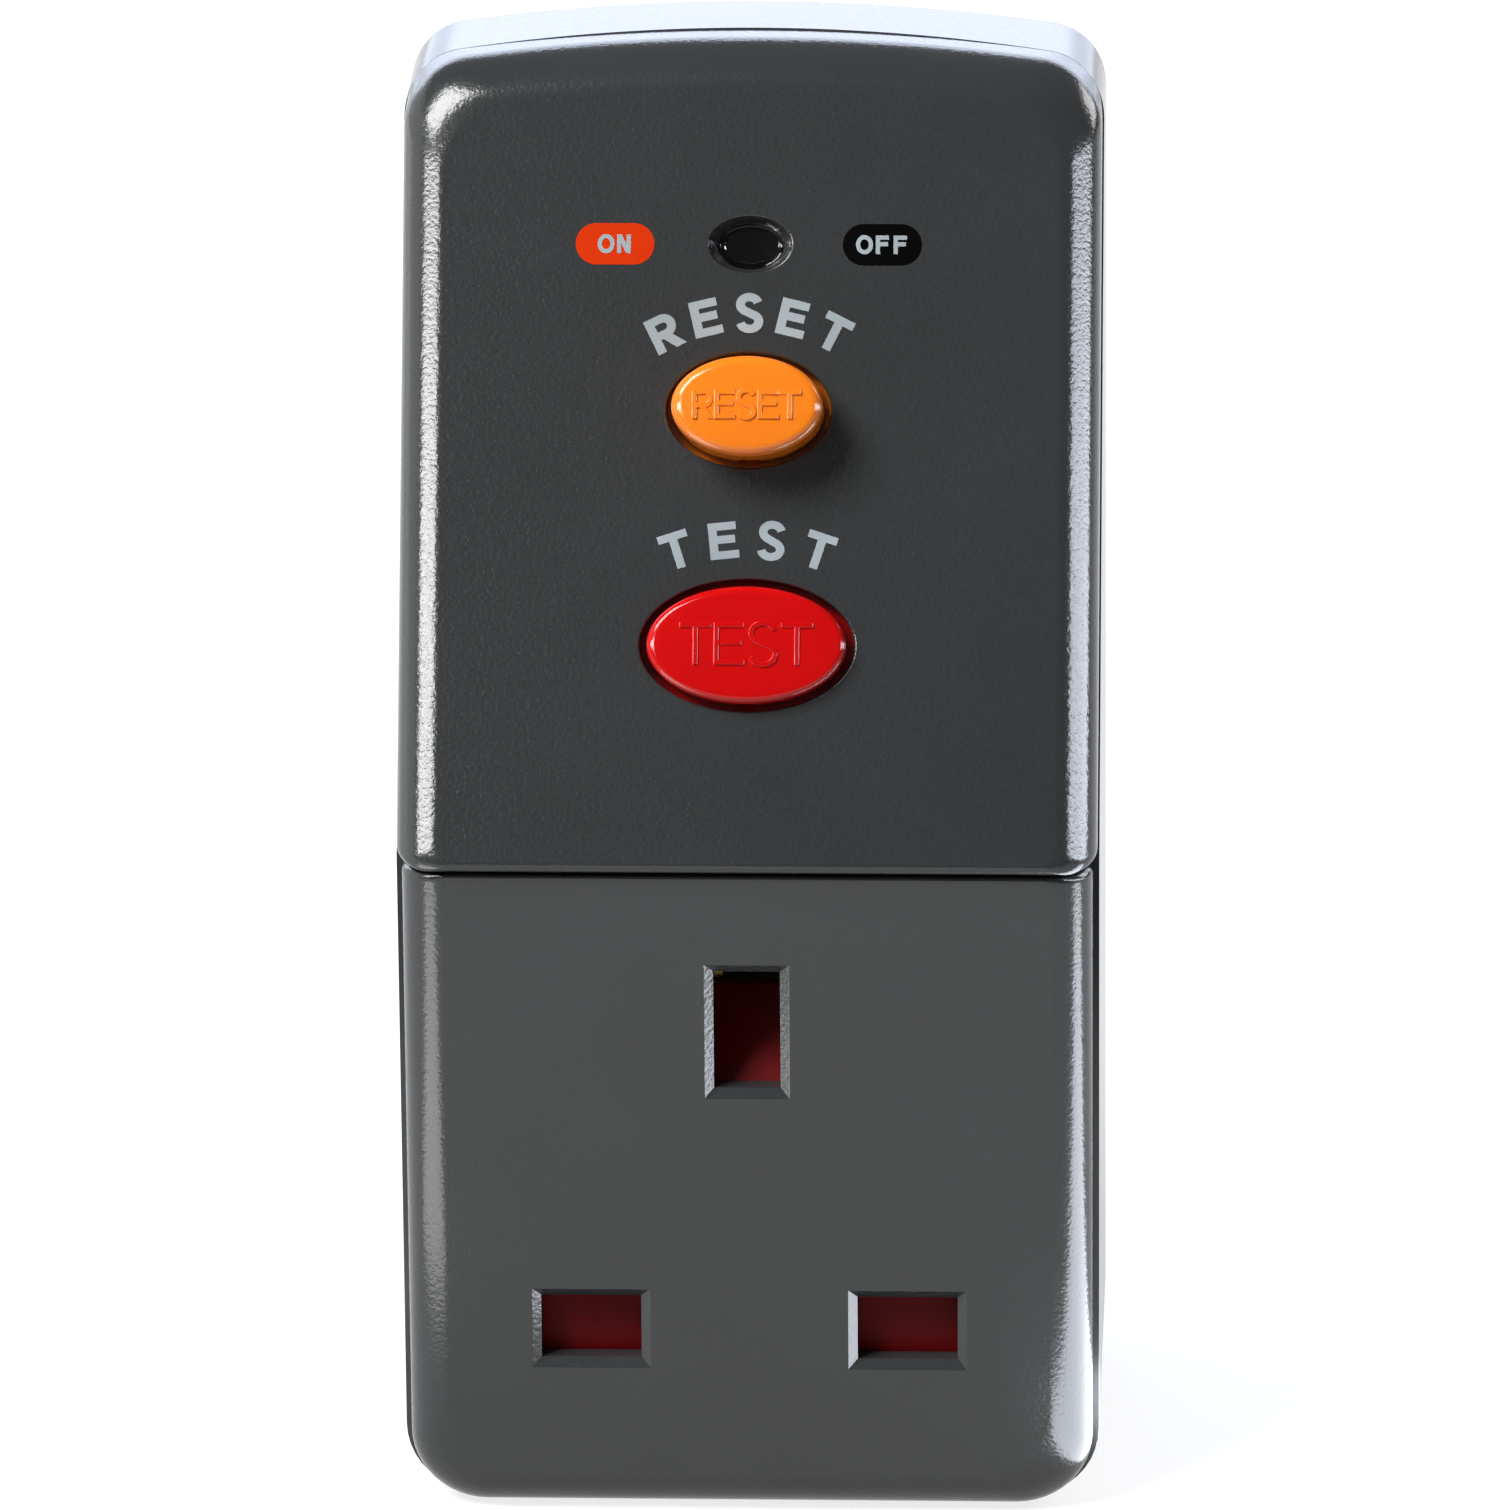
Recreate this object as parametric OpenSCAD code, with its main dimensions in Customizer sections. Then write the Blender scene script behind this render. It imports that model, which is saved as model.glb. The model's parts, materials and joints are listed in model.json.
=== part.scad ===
// RCD adapter plug: a residual current device between a three-pin plug and a three-pin socket.
// Front faces -Y, +Z is up, the wall face lies on y = 0 and the line and neutral pins on z = 0.
// Sizes in millimetres.

/* [Body] */
// width of the rear shell
body_w = 49; // [48.6:0.1:51]
// socket face to wall face
body_depth = 35; // [34.6:0.1:36]
// underside, below the line and neutral pins
bottom_z = -14; // [-15:0.1:-13.8]
// height of the crown, in the middle
top_z = 87.3; // [87:0.1:88.5]
// height of the seam between socket cover and control cover
seam_z = 33.7; // [33.5:0.1:34]
// how far the control panel leans back, in degrees
lean = 23; // [22.6:0.1:23.2]
// control panel stands proud of the socket face at the seam
panel_proud = 1; // [0.8:0.1:1.2]
// wall thickness of the shells
wall = 2.2; // [2:0.1:2.3]
// rear wall around the pins
base_wall = 3; // [2.8:0.1:3]
// front covers stand this far inside the rear shell
lid_step = 0.12; // [0.08:0.02:0.3]
// depth of the control cover, square to its panel
lid_depth = 4.4; // [4.2:0.1:4.8]
// open line between two mouldings
seam_gap = 0.25; // [0.15:0.05:0.3]

/* [Rounding] */
// front edges
edge_r = 3; // [2.4:0.1:3.4]
// lower edge of the control panel
lip_r = 1; // [0.6:0.1:1.4]
// rear edges
rear_r = 1.8; // [1.2:0.1:2.2]
// top corners of the rear shell
corner_r = 4.4; // [4:0.1:4.8]
// bottom corners of the rear shell and the socket cover
foot_r = 5.2; // [4.6:0.1:5.8]
// top corners of the control panel
panel_corner_r = 5; // [4:0.1:6]
// crown of the top
arch_r = 150; // [130:1:170]

/* [Plug and socket] */
// spacing of the line and neutral pins
pin_pitch = 22.23; // [22.1:0.01:22.36]
// earth pin above the line and neutral pins
earth_rise = 22.23; // [22.1:0.01:22.36]
// thickness of every pin
pin_t = 3.97; // [3.9:0.01:4.04]
// width of the line and neutral pins
pin_w = 6.35; // [6.22:0.01:6.48]
// length of the line and neutral pins
pin_len = 17.7; // [17.3:0.1:18.2]
// width of the earth pin
earth_w = 7.94; // [7.81:0.01:8.07]
// length of the earth pin
earth_len = 22.73; // [22.2:0.1:23.2]
// insulating sleeve on the line and neutral pins
sleeve_len = 9.5; // [9:0.1:10]
// room around a pin in its aperture, on each side
aperture_gap = 0.34; // [0.3:0.02:0.42]
// width of the bevel round an aperture
bevel_w = 0.7; // [0.5:0.05:0.8]
// thickness of the socket face
face_t = 1.9; // [1.7:0.1:2.1]
// travel of the shutter
shutter_travel = 5.6; // [5.4:0.1:5.7]

/* [Controls] */
// reset button, up the panel from the seam
reset_v = 32.8; // [32.6:0.1:32.9]
// width of the reset button
reset_w = 10.5; // [10:0.1:11]
// height of the reset button
reset_h = 7; // [6.6:0.1:7.1]
// reset button stands above the panel
reset_proud = 4; // [3.5:0.1:4.5]
// travel of the reset button
reset_travel = 2; // [1.8:0.1:2.1]
// test button, up the panel from the seam
test_v = 16.4; // [16.2:0.1:16.8]
// width of the test button
test_w = 13.9; // [13.4:0.1:14.4]
// height of the test button
test_h = 8.2; // [7.8:0.1:8.6]
// test button stands above the panel
test_proud = 1.2; // [1:0.1:1.5]
// travel of the test button
test_travel = 1.1; // [0.9:0.1:1.1]
// open line round a button
button_gap = 0.5; // [0.4:0.05:0.6]
// indicator window, up the panel from the seam
window_v = 44.4; // [44.3:0.1:44.6]
// width of the window recess
window_w = 5.78; // [5.5:0.1:6]
// height of the window recess
window_h = 3.95; // [3.8:0.1:4.1]

/* [Trip mechanism] */
// travel of the contact carriage
contact_travel = 2; // [1.8:0.1:2.05]
// travel of the indicator flag
flag_travel = 4; // [3.8:0.1:4]
// travel of the trip plunger and latch
trip_travel = 2.2; // [2:0.1:2.3]
// thickness of the circuit board
board_t = 1.6; // [1.4:0.1:1.7]
// outside diameter of the sensing toroid
toroid_d = 14.8; // [14.4:0.1:16.4]
// running clearance of the sliding parts
slide_gap = 0.3; // [0.25:0.05:0.35]

/* [Hidden] */
$fn = 48;
fine = 0.02;
lid_hw = body_w / 2 - lid_step;
panel_y = -body_depth - panel_proud;
rim_y = panel_y + lid_depth / cos(lean);
lid_top_z = top_z - lid_step;
lid_bottom_z = bottom_z + lid_step;
lip_z = seam_z + seam_gap;
pin_x = pin_pitch / 2;
face_y = -body_depth;
inner_y = face_y + face_t;
shutter_t = 3;
shutter_y = inner_y + slide_gap;
carrier_y = shutter_y + shutter_t + slide_gap;
blade_h = pin_t / 2 + aperture_gap + 0.9;
earth_floor_y = face_y + earth_len + 0.7;
live_floor_y = face_y + pin_len + 1.1;
clip_t = 0.6;
clip_gap = pin_t / 2 + 0.06;
flange_y = -base_wall - 2.5;
clamp_y = flange_y - 1.5;
tail_y = clamp_y - 1.6;
ramp_low = earth_rise - earth_w / 2 - aperture_gap - 0.2;
ramp_foot = ramp_low - 1.4;
ramp_top = earth_rise - earth_w / 2 + shutter_travel - 0.65;
ramp_y = shutter_y + 5.6;
flange_d = wall + slide_gap;
bridge_t = 0.5;
pad_t = 0.7;
test_bridge_d = flange_d + 3.1;
frame_d = test_bridge_d + bridge_t + test_travel + 0.1 + pad_t;
frame_t = 2;
contact_d = frame_d + frame_t + 0.7;
contact_tip = 0.5;
bridge_d = contact_d + contact_tip + contact_travel + 0.2;
carriage_d = bridge_d + 1.4;
carriage_t = 2.4;
latch_d = carriage_d + carriage_t + slide_gap;
latch_t = 0.6;
board_d = latch_d + latch_t + 0.4;
coil_d = latch_d + latch_t / 2;
screw_x = body_w / 2 - wall - 2.6;
board_hw = screw_x - 3.1;
guide_x = 6;
contact_x = (guide_x + board_hw - 1) / 2;
leg_t = 0.7;
leg_x = board_hw - 0.6;
coil_room = 7.2;
load_v = test_v + 9.6;
supply_v = load_v + 8;
coil_v = test_v - 5.4;
coil_len = 12;
yoke_top_v = coil_v + coil_len + 1;
latch_shoulder_v = yoke_top_v + 4.2;
peg_v = window_v - 2.4;
peg_d = carriage_d - 1.2;
flag_d = wall + 2;
stem_r = 2;
neck_r = 1.3;
spring_wire = 0.42;
chamber_hw = 5;
toroid_pos = [-chamber_hw - toroid_d / 2 - 0.4, -18, earth_rise - 4.7];
toroid_h = 6;
wire_r = 1;
leg_v = 7.6;
lip_wall = 1.8;
screw_spots = [
    [screw_x - 0.3, bottom_z + 5.1, -14],
    [screw_x, seam_z + 5.6, -16],
    [screw_x - 3, top_z - 7.3, -6.6]
];

// a box between two corners
module span(a, b) {
    translate(a)
        cube([b[0] - a[0], b[1] - a[1], b[2] - a[2]]);
}

// panel frame: x across, y up the slope, z out of the panel
module on_panel() {
    translate([0, panel_y, seam_z])
        rotate([90 - lean, 0, 0])
            children();
}

// socket frame: x across, y up, z out of the socket face
module on_socket() {
    translate([0, face_y, 0])
        rotate([90, 0, 0])
            children();
}

// a box in the panel frame, between depths below the panel
module deep(x0, x1, v0, v1, d0, d1) {
    span([x0, v0, -d1], [x1, v1, -d0]);
}

// a round post in the panel frame, between depths below the panel
module deep_post(x, v, r, d0, d1) {
    translate([x, v, -d1])
        cylinder(r = r, h = d1 - d0);
}

// a pair of children, the second mirrored in the middle plane
module both_sides() {
    children();
    mirror([1, 0, 0])
        children();
}

function arc(cx, cy, r, a0, a1, n) =
    [for (i = [0:n]) [cx + r * cos(a0 + (a1 - a0) * i / n), cy + r * sin(a0 + (a1 - a0) * i / n)]];

// outline with a crowned top, its corners tangent to the crown
function crowned(hw, lo, hi, r_lo, r_hi) =
    let (
        cy = hi - arch_r,
        zc = cy + sqrt(pow(arch_r - r_hi, 2) - pow(hw - r_hi, 2)),
        a = atan2(zc - cy, hw - r_hi)
    )
    concat(
        arc(-hw + r_lo, lo + r_lo, r_lo, 180, 270, 5),
        arc(hw - r_lo, lo + r_lo, r_lo, 270, 360, 5),
        arc(hw - r_hi, zc, r_hi, 0, a, 5),
        arc(0, cy, arch_r, a, 180 - a, 12),
        arc(-hw + r_hi, zc, r_hi, 180 - a, 180, 5)
    );

// outline with a flat top
function boxed(hw, lo, hi, r_lo, r_hi) =
    concat(
        arc(-hw + r_lo, lo + r_lo, r_lo, 180, 270, 5),
        arc(hw - r_lo, lo + r_lo, r_lo, 270, 360, 5),
        arc(hw - r_hi, hi - r_hi, r_hi, 0, 90, 3),
        arc(-hw + r_hi, hi - r_hi, r_hi, 90, 180, 3)
    );

function ellipse(w, h, n = 48) =
    [for (i = [0:n - 1]) [w / 2 * cos(360 * i / n), h / 2 * sin(360 * i / n)]];

// height up the panel of a level plane, at a depth below the panel
function level_v(z, d) = (z - seam_z + d * sin(lean)) / cos(lean);

// inset of a rounded edge at a depth below the face
function edge_inset(r, d) = d >= r ? 0 : r - sqrt(r * r - pow(r - d, 2));

// depths of the slices that round an edge
function edge_depths(r) = [for (i = [0:4]) r * (1 - cos(22.5 * i))];

// one thin slice of a loft
module slice(points, d) {
    translate([0, 0, -d - fine])
        linear_extrude(height = fine)
            polygon(points);
}

// triangles of a closed tube, from its rings of points in a row
function tube_faces(rings, sides) =
    concat(
        [
            for (i = [0:rings - 1])
                for (j = [0:sides - 1])
                    let (k = (j + 1) % sides)
                    for (half = [0, 1])
                        half == 0
                            ? [i * sides + j, (i + 1) * sides + j, (i + 1) * sides + k]
                            : [i * sides + j, (i + 1) * sides + k, i * sides + k]
        ],
        [[for (j = [0:sides - 1]) j]],
        [[for (j = [sides - 1:-1:0]) rings * sides + j]]
    );

// a closed coil along +z, from z0 to z1 over its wire
module coil(r, wire, z0, z1, turns) {
    sides = 6;
    rings = 8 * turns;
    low = z0 + wire / 2 + 0.03;
    pitch = (z1 - z0 - wire - 0.06) / turns;
    rise = pitch / (2 * PI * r);
    lie = atan(rise);
    points = [
        for (i = [0:rings])
            let (a = 360 * turns * i / rings)
            for (j = [0:sides - 1])
                let (
                    b = 360 * j / sides,
                    out = wire / 2 * cos(b),
                    up = wire / 2 * sin(b)
                )
                [
                    (r + out) * cos(a) + up * sin(lie) * sin(a),
                    (r + out) * sin(a) - up * sin(lie) * cos(a),
                    low + pitch * turns * i / rings + up * cos(lie)
                ]
    ];
    echo("coil self gap", pitch - wire);
    polyhedron(points, tube_faces(rings, sides), convexity = 8);
}

// rings of a mitred tube, one at each point from the i-th on
function tube_rings(points, legs, ring, i) =
    i > len(legs) ? [] :
    let (
        leg = legs[i - 1],
        square = i == len(legs) ? leg : leg + legs[i],
        next = [for (q = ring) q + leg * ((points[i] - q) * square) / (leg * square)]
    )
    concat([next], tube_rings(points, legs, next, i + 1));

// an insulated wire through a list of points, from its lower end up
module wire_run(points) {
    sides = 10;
    legs = [
        for (i = [0:len(points) - 2])
            (points[i + 1] - points[i]) / norm(points[i + 1] - points[i])
    ];
    start = [for (j = [0:sides - 1]) points[0] + wire_r * [cos(360 * j / sides), -sin(360 * j / sides), 0]];
    rings = concat([start], tube_rings(points, legs, start, 1));
    polyhedron([for (ring = rings) for (q = ring) q], tube_faces(len(points) - 1, sides), convexity = 4);
}

// cut line between the rear shell and the front covers, seen from the side
module in_front_of_rim(back) {
    rise = 80;
    y0 = rim_y + back;
    translate([-body_w, 0, 0])
        rotate([90, 0, 90])
            linear_extrude(height = 2 * body_w)
                polygon([
                    [y0, bottom_z - 20],
                    [y0, seam_z],
                    [y0 + rise * tan(lean), seam_z + rise],
                    [y0 - 80, seam_z + rise],
                    [y0 - 80, bottom_z - 20]
                ]);
}

// the rear shell's outline, drawn in by an inset, as a plate from y forwards
module shell_plate(inset, y, thick) {
    low = foot_r - inset;
    high = max(corner_r - inset, 0.6);
    translate([0, y, 0])
        rotate([90, 0, 0])
            linear_extrude(height = thick)
                polygon(crowned(body_w / 2 - inset, bottom_z + inset, top_z - inset, low, high));
}

module screw_boss(spot, r, y0, y1) {
    translate([spot[0], y1, spot[1]])
        rotate([90, 0, 0])
            cylinder(r = r, h = y1 - y0);
}

// slot in the rear wall for a pin
module pin_slot(x, z, w, h) {
    translate([x, 0, z])
        span([-w / 2 - 0.05, flange_y, -h / 2 - 0.05], [w / 2 + 0.05, 1, h / 2 + 0.05]);
}

module rear_shell() {
    board_back = board_d + board_t;
    color([0.24, 0.25, 0.26])
    difference() {
        union() {
            difference() {
                union() {
                    hull() {
                        for (d = edge_depths(rear_r))
                            shell_plate(edge_inset(rear_r, d), -d, fine);
                    }
                    shell_plate(0, -rear_r - fine, -rim_y);
                }
                in_front_of_rim(0.1);
                difference() {
                    shell_plate(wall, -wall, -rim_y + 4);
                    span([-23, -base_wall, bottom_z], [23, 0, earth_rise + 7]);
                }
            }
            both_sides() {
                for (s = screw_spots) {
                    screw_boss(s, 2.7, s[2], -1);
                    screw_boss(s, 3.6, -4.4, -1);
                }
                on_panel()
                    for (p = [[board_hw - 5, 7], [board_hw - 1, load_v + 4]])
                        deep_post(
                            p[0], p[1], 1.6, board_back,
                            (-wall - panel_y - p[1] * sin(lean)) / cos(lean) + 1
                        );
            }
        }
        both_sides()
            for (s = screw_spots) {
                screw_boss(s, 1.5, s[2] - 1, 1);
                screw_boss(s, 2.9, -2.2, 1);
            }
        for (x = [-pin_x, pin_x])
            pin_slot(x, 0, pin_w, pin_t);
        pin_slot(0, earth_rise, pin_t, earth_w);
    }
}

module control_cover() {
    hole = 2 * button_gap;
    color([0.26, 0.27, 0.28])
    difference() {
        union() {
            on_panel()
            difference() {
                hull() {
                    for (d = concat(edge_depths(edge_r), [lid_depth]))
                        slice(crowned(
                            lid_hw - edge_inset(edge_r, d),
                            level_v(lip_z, d) + edge_inset(lip_r, d),
                            level_v(lid_top_z, d) - edge_inset(edge_r, d),
                            1.2,
                            d < lid_depth ? panel_corner_r : corner_r
                        ), d);
                }
                hull() {
                    for (d = [wall, lid_depth + 1])
                        slice(crowned(
                            lid_hw - wall,
                            level_v(lip_z + lip_wall, d),
                            level_v(lid_top_z - wall, d),
                            1,
                            corner_r
                        ), d);
                }
            }
            both_sides() {
                on_panel()
                    for (v = [leg_v, load_v + 4, window_v + 3.6])
                        deep_post(board_hw - 2, v, 2, wall - 0.5, frame_d);
                for (i = [1, 2])
                    let (
                        s = screw_spots[i],
                        y = panel_y + (s[1] - seam_z) * tan(lean)
                    )
                    screw_boss(s, 2.4, y + wall - 0.4, s[2]);
            }
        }
        on_panel() {
            translate([0, reset_v, -lid_depth])
                linear_extrude(height = lid_depth + 1)
                    polygon(ellipse(reset_w + hole, reset_h + hole));
            translate([0, test_v, -lid_depth])
                linear_extrude(height = lid_depth + 1)
                    polygon(ellipse(test_w + hole, test_h + hole));
            translate([0, window_v, 0]) {
                translate([0, 0, -lid_depth])
                    linear_extrude(height = lid_depth)
                        polygon(ellipse(window_w - 1.2, window_h - 0.7));
                hull() {
                    slice(ellipse(window_w - 1.2, window_h - 0.7), 1.4);
                    slice(ellipse(window_w, window_h), -fine);
                }
            }
        }
        both_sides()
            for (i = [1, 2])
                let (
                    s = screw_spots[i],
                    y = panel_y + (s[1] - seam_z) * tan(lean)
                )
                screw_boss(s, 1.3, y + wall + 2, s[2] + 1);
    }
}

// a bevelled aperture through the socket face
module aperture(w, h) {
    iw = w / 2 + aperture_gap;
    ih = h / 2 + aperture_gap;
    bevel_d = 0.7 * bevel_w;
    span([-iw, -ih, -face_t - 1], [iw, ih, 1]);
    hull() {
        span([-iw, -ih, -bevel_d], [iw, ih, -bevel_d + fine]);
        span([-iw - bevel_w, -ih - bevel_w, 0], [iw + bevel_w, ih + bevel_w, fine]);
    }
}

module socket_cover() {
    hw = lid_hw - 0.3;
    depth = rim_y - face_y;
    s = screw_spots[0];
    color([0.26, 0.27, 0.28])
    difference() {
        union() {
            on_socket()
            difference() {
                hull() {
                    for (d = concat(edge_depths(edge_r), [depth]))
                        slice(boxed(
                            hw - edge_inset(edge_r, d),
                            lid_bottom_z + edge_inset(edge_r, d),
                            seam_z - (d > 0 ? 0 : 0.25),
                            foot_r, 0.6
                        ), d);
                }
                hull() {
                    for (d = [face_t, depth + 1])
                        slice(boxed(hw - wall, lid_bottom_z + wall, seam_z - 1.9, foot_r - wall, 0.6), d);
                }
            }
            both_sides() {
                screw_boss(s, 2.2, inner_y - 0.4, s[2]);
                span([screw_x - 2, rim_y - 1.7, seam_z - 1.9], [screw_x + 2, rim_y + 2.9, seam_z]);
                span([screw_x - 2, rim_y + 1.3, seam_z - 0.1], [screw_x + 2, rim_y + 2.9, seam_z + 2.3]);
            }
        }
        on_socket() {
            for (x = [-pin_x, pin_x])
                translate([x, 0, 0])
                    aperture(pin_w, pin_t);
            translate([0, earth_rise, 0])
                aperture(pin_t, earth_w);
        }
        both_sides()
            screw_boss(s, 1.3, inner_y + 1, s[2] + 1);
    }
}

module case_screws() {
    color([0.7, 0.7, 0.68])
    both_sides()
        for (i = [0:2])
            let (
                s = screw_spots[i],
                end = i == 2 ? s[2] - 4.5 : s[2] - 8
            )
            difference() {
                union() {
                    screw_boss(s, 2.6, -2.2, -0.5);
                    screw_boss(s, 1.25, end, -2.2);
                }
                translate([s[0], 0, s[1]]) {
                    span([-1.7, -1.5, -0.3], [1.7, 0, 0.3]);
                    span([-0.3, -1.5, -1.7], [0.3, 0, 1.7]);
                }
            }
}

// a plug pin with a tapered tip, a flange inside the wall and a tail
module plug_pin(w, h, length, sleeved) {
    tip = 2.4;
    skin = sleeved ? 0.5 : 0;
    start = sleeved ? sleeve_len : -base_wall;
    span([-w / 2, start, -h / 2], [w / 2, length - tip, h / 2]);
    hull() {
        span([-w / 2, length - tip, -h / 2], [w / 2, length - tip + fine, h / 2]);
        span([-w / 2 + 0.75, length - fine, -h / 2 + 0.75], [w / 2 - 0.75, length, h / 2 - 0.75]);
    }
    span(
        [-w / 2 + skin, -base_wall, -h / 2 + skin],
        [w / 2 - skin, max(start, fine), h / 2 - skin]
    );
    span([-w / 2 - 1.2, flange_y, -h / 2 - 1.2], [w / 2 + 1.2, -base_wall, h / 2 + 1.2]);
    span([-w / 2 + 0.6, tail_y, -h / 2 + 0.6], [w / 2 - 0.6, flange_y, h / 2 - 0.6]);
}

module earth_pin() {
    color([0.85, 0.7, 0.35])
    translate([0, 0, earth_rise])
        plug_pin(pin_t, earth_w, earth_len, false);
}

module line_pin() {
    color([0.85, 0.7, 0.35])
    translate([pin_x, 0, 0])
        plug_pin(pin_w, pin_t, pin_len, true);
}

module neutral_pin() {
    color([0.85, 0.7, 0.35])
    translate([-pin_x, 0, 0])
        plug_pin(pin_w, pin_t, pin_len, true);
}

// insulating sleeve round the root of a pin
module pin_sleeve() {
    difference() {
        span([-pin_w / 2, -base_wall, -pin_t / 2], [pin_w / 2, sleeve_len, pin_t / 2]);
        span(
            [-pin_w / 2 + 0.5, -base_wall - 1, -pin_t / 2 + 0.5],
            [pin_w / 2 - 0.5, sleeve_len + 1, pin_t / 2 - 0.5]
        );
    }
}

module line_pin_sleeve() {
    color([0.12, 0.12, 0.12])
    translate([pin_x, 0, 0])
        pin_sleeve();
}

module neutral_pin_sleeve() {
    color([0.12, 0.12, 0.12])
    translate([-pin_x, 0, 0])
        pin_sleeve();
}

module pin_clamp() {
    gap = 0.1 - 0.6;
    color([0.75, 0.74, 0.68])
    difference() {
        union() {
            span([-15.5, clamp_y, -5], [15.5, flange_y, 5]);
            span([-4.6, clamp_y, 5], [4.6, flange_y, earth_rise + 5]);
        }
        for (x = [-pin_x, pin_x])
            translate([x, 0, 0])
                span(
                    [-pin_w / 2 - gap, clamp_y - 1, -pin_t / 2 - gap],
                    [pin_w / 2 + gap, flange_y + 1, pin_t / 2 + gap]
                );
        translate([0, 0, earth_rise])
            span(
                [-pin_t / 2 - gap, clamp_y - 1, -earth_w / 2 - gap],
                [pin_t / 2 + gap, flange_y + 1, earth_w / 2 + gap]
            );
    }
}

module contact_carrier() {
    live_back = live_floor_y + 2.1;
    earth_back = earth_floor_y + 1.6;
    shelf_z = toroid_pos[2] - toroid_h / 2;
    color([0.8, 0.79, 0.74])
    difference() {
        union() {
            span([-16.2, carrier_y, -5], [16.2, live_back, 5]);
            span([-chamber_hw, carrier_y, 5], [chamber_hw, earth_back, earth_rise + 5.6]);
            span([-chamber_hw, inner_y, earth_rise + 4.6], [chamber_hw, carrier_y, earth_rise + 5.6]);
            span([-1.45, shutter_y + 0.5, 5.9], [1.45, carrier_y, 7.1]);
            span(
                [toroid_pos[0] - 5, toroid_pos[1] - 6, shelf_z - 1.4],
                [-chamber_hw, toroid_pos[1] + 6, shelf_z]
            );
            both_sides() {
                span([15.6, inner_y, -5], [16.2, carrier_y, 5]);
                translate([5.2, clamp_y, -3.4])
                    rotate([90, 0, 0])
                        cylinder(r = 1.3, h = clamp_y - live_back);
            }
        }
        for (x = [-pin_x, pin_x])
            translate([x, 0, 0]) {
                span([-3.7, carrier_y - 1, -3.3], [3.7, live_floor_y, 3.3]);
                span([-1.3, live_floor_y - 1, -0.6], [1.3, live_back + 1, 0.6]);
            }
        translate([0, 0, earth_rise]) {
            span([-3.1, carrier_y - 1, -4.7], [3.1, earth_floor_y, 4.7]);
            span([-1.6, earth_floor_y - 1, -1.6], [1.6, earth_back + 1, 1.6]);
        }
        span(
            [-3 - slide_gap, carrier_y - 1, ramp_foot - shutter_travel - slide_gap],
            [3 + slide_gap, ramp_y + slide_gap, earth_rise]
        );
        translate([toroid_pos[0], toroid_pos[1], shelf_z - 3])
            cylinder(r = 3.6, h = 4);
    }
}

// a spring clip with two leaves that grip a pin, open towards -y
module grip(half, y0, y1, tail_w, tail_h, tail_end) {
    for (side = [-1, 1])
        scale([1, 1, side])
            span([-half, y0, clip_gap], [half, y1, clip_gap + clip_t]);
    span([-half, y1 - clip_t, -clip_gap - clip_t], [half, y1, clip_gap + clip_t]);
    span([-tail_w / 2, y1 - 0.01, -tail_h / 2], [tail_w / 2, tail_end, tail_h / 2]);
}

module earth_contact() {
    color([0.86, 0.72, 0.4])
    translate([0, 0, earth_rise])
        rotate([0, 90, 0])
            grip(3.2, carrier_y + 3, earth_floor_y, 2.8, 2.8, tail_y);
}

module line_contact() {
    color([0.86, 0.72, 0.4])
    translate([pin_x, 0, 0])
        grip(2.8, carrier_y + 1, live_floor_y, 2.4, 1, live_floor_y + 4);
}

module neutral_contact() {
    color([0.86, 0.72, 0.4])
    translate([-pin_x, 0, 0])
        grip(2.8, carrier_y + 1, live_floor_y, 2.4, 1, live_floor_y + 4);
}

// strip from a pin's tail up to the lower edge of the board
module supply_strip() {
    strip_t = 0.7;
    back = board_d + board_t;
    bend_z = seam_z - 3;
    bend_v = level_v(bend_z + strip_t, back);
    board_y = panel_y + bend_v * sin(lean) + back * cos(lean);
    span([pin_x - 2, tail_y - strip_t, -1.4], [leg_x, tail_y, 1.4]);
    span([leg_x - 2.4, tail_y - strip_t, -1.4], [leg_x, tail_y, bend_z + strip_t]);
    span([leg_x - 2.4, board_y + 0.05, bend_z], [leg_x, tail_y, bend_z + strip_t]);
}

module line_supply_strip() {
    color([0.8, 0.5, 0.3])
    supply_strip();
}

module neutral_supply_strip() {
    color([0.8, 0.5, 0.3])
    mirror([1, 0, 0])
        supply_strip();
}

// height at which a load wire meets the board
function wire_top_z() = seam_z + 3 * cos(lean) - board_d * sin(lean) - 0.7;

module line_load_wire() {
    y = live_floor_y + 3.2;
    x = toroid_pos[0] + 1.5;
    cross_y = tail_y + 0.35;
    foot_z = toroid_pos[2] - toroid_h / 2 - 2.6;
    color([0.45, 0.25, 0.12])
    wire_run([
        [pin_x, y, 0.5],
        [pin_x, y, 9.4],
        [8, cross_y, 10.4],
        [-7, cross_y, 10.4],
        [x, toroid_pos[1], foot_z],
        [x, toroid_pos[1], wire_top_z()]
    ]);
}

module neutral_load_wire() {
    y = live_floor_y + 3.2;
    x = toroid_pos[0] - 1.5;
    foot_z = toroid_pos[2] - toroid_h / 2 - 2.6;
    color([0.2, 0.35, 0.7])
    wire_run([
        [-pin_x, y, 0.5],
        [-pin_x, y, 5.6],
        [x, toroid_pos[1], foot_z],
        [x, toroid_pos[1], wire_top_z()]
    ]);
}

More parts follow.
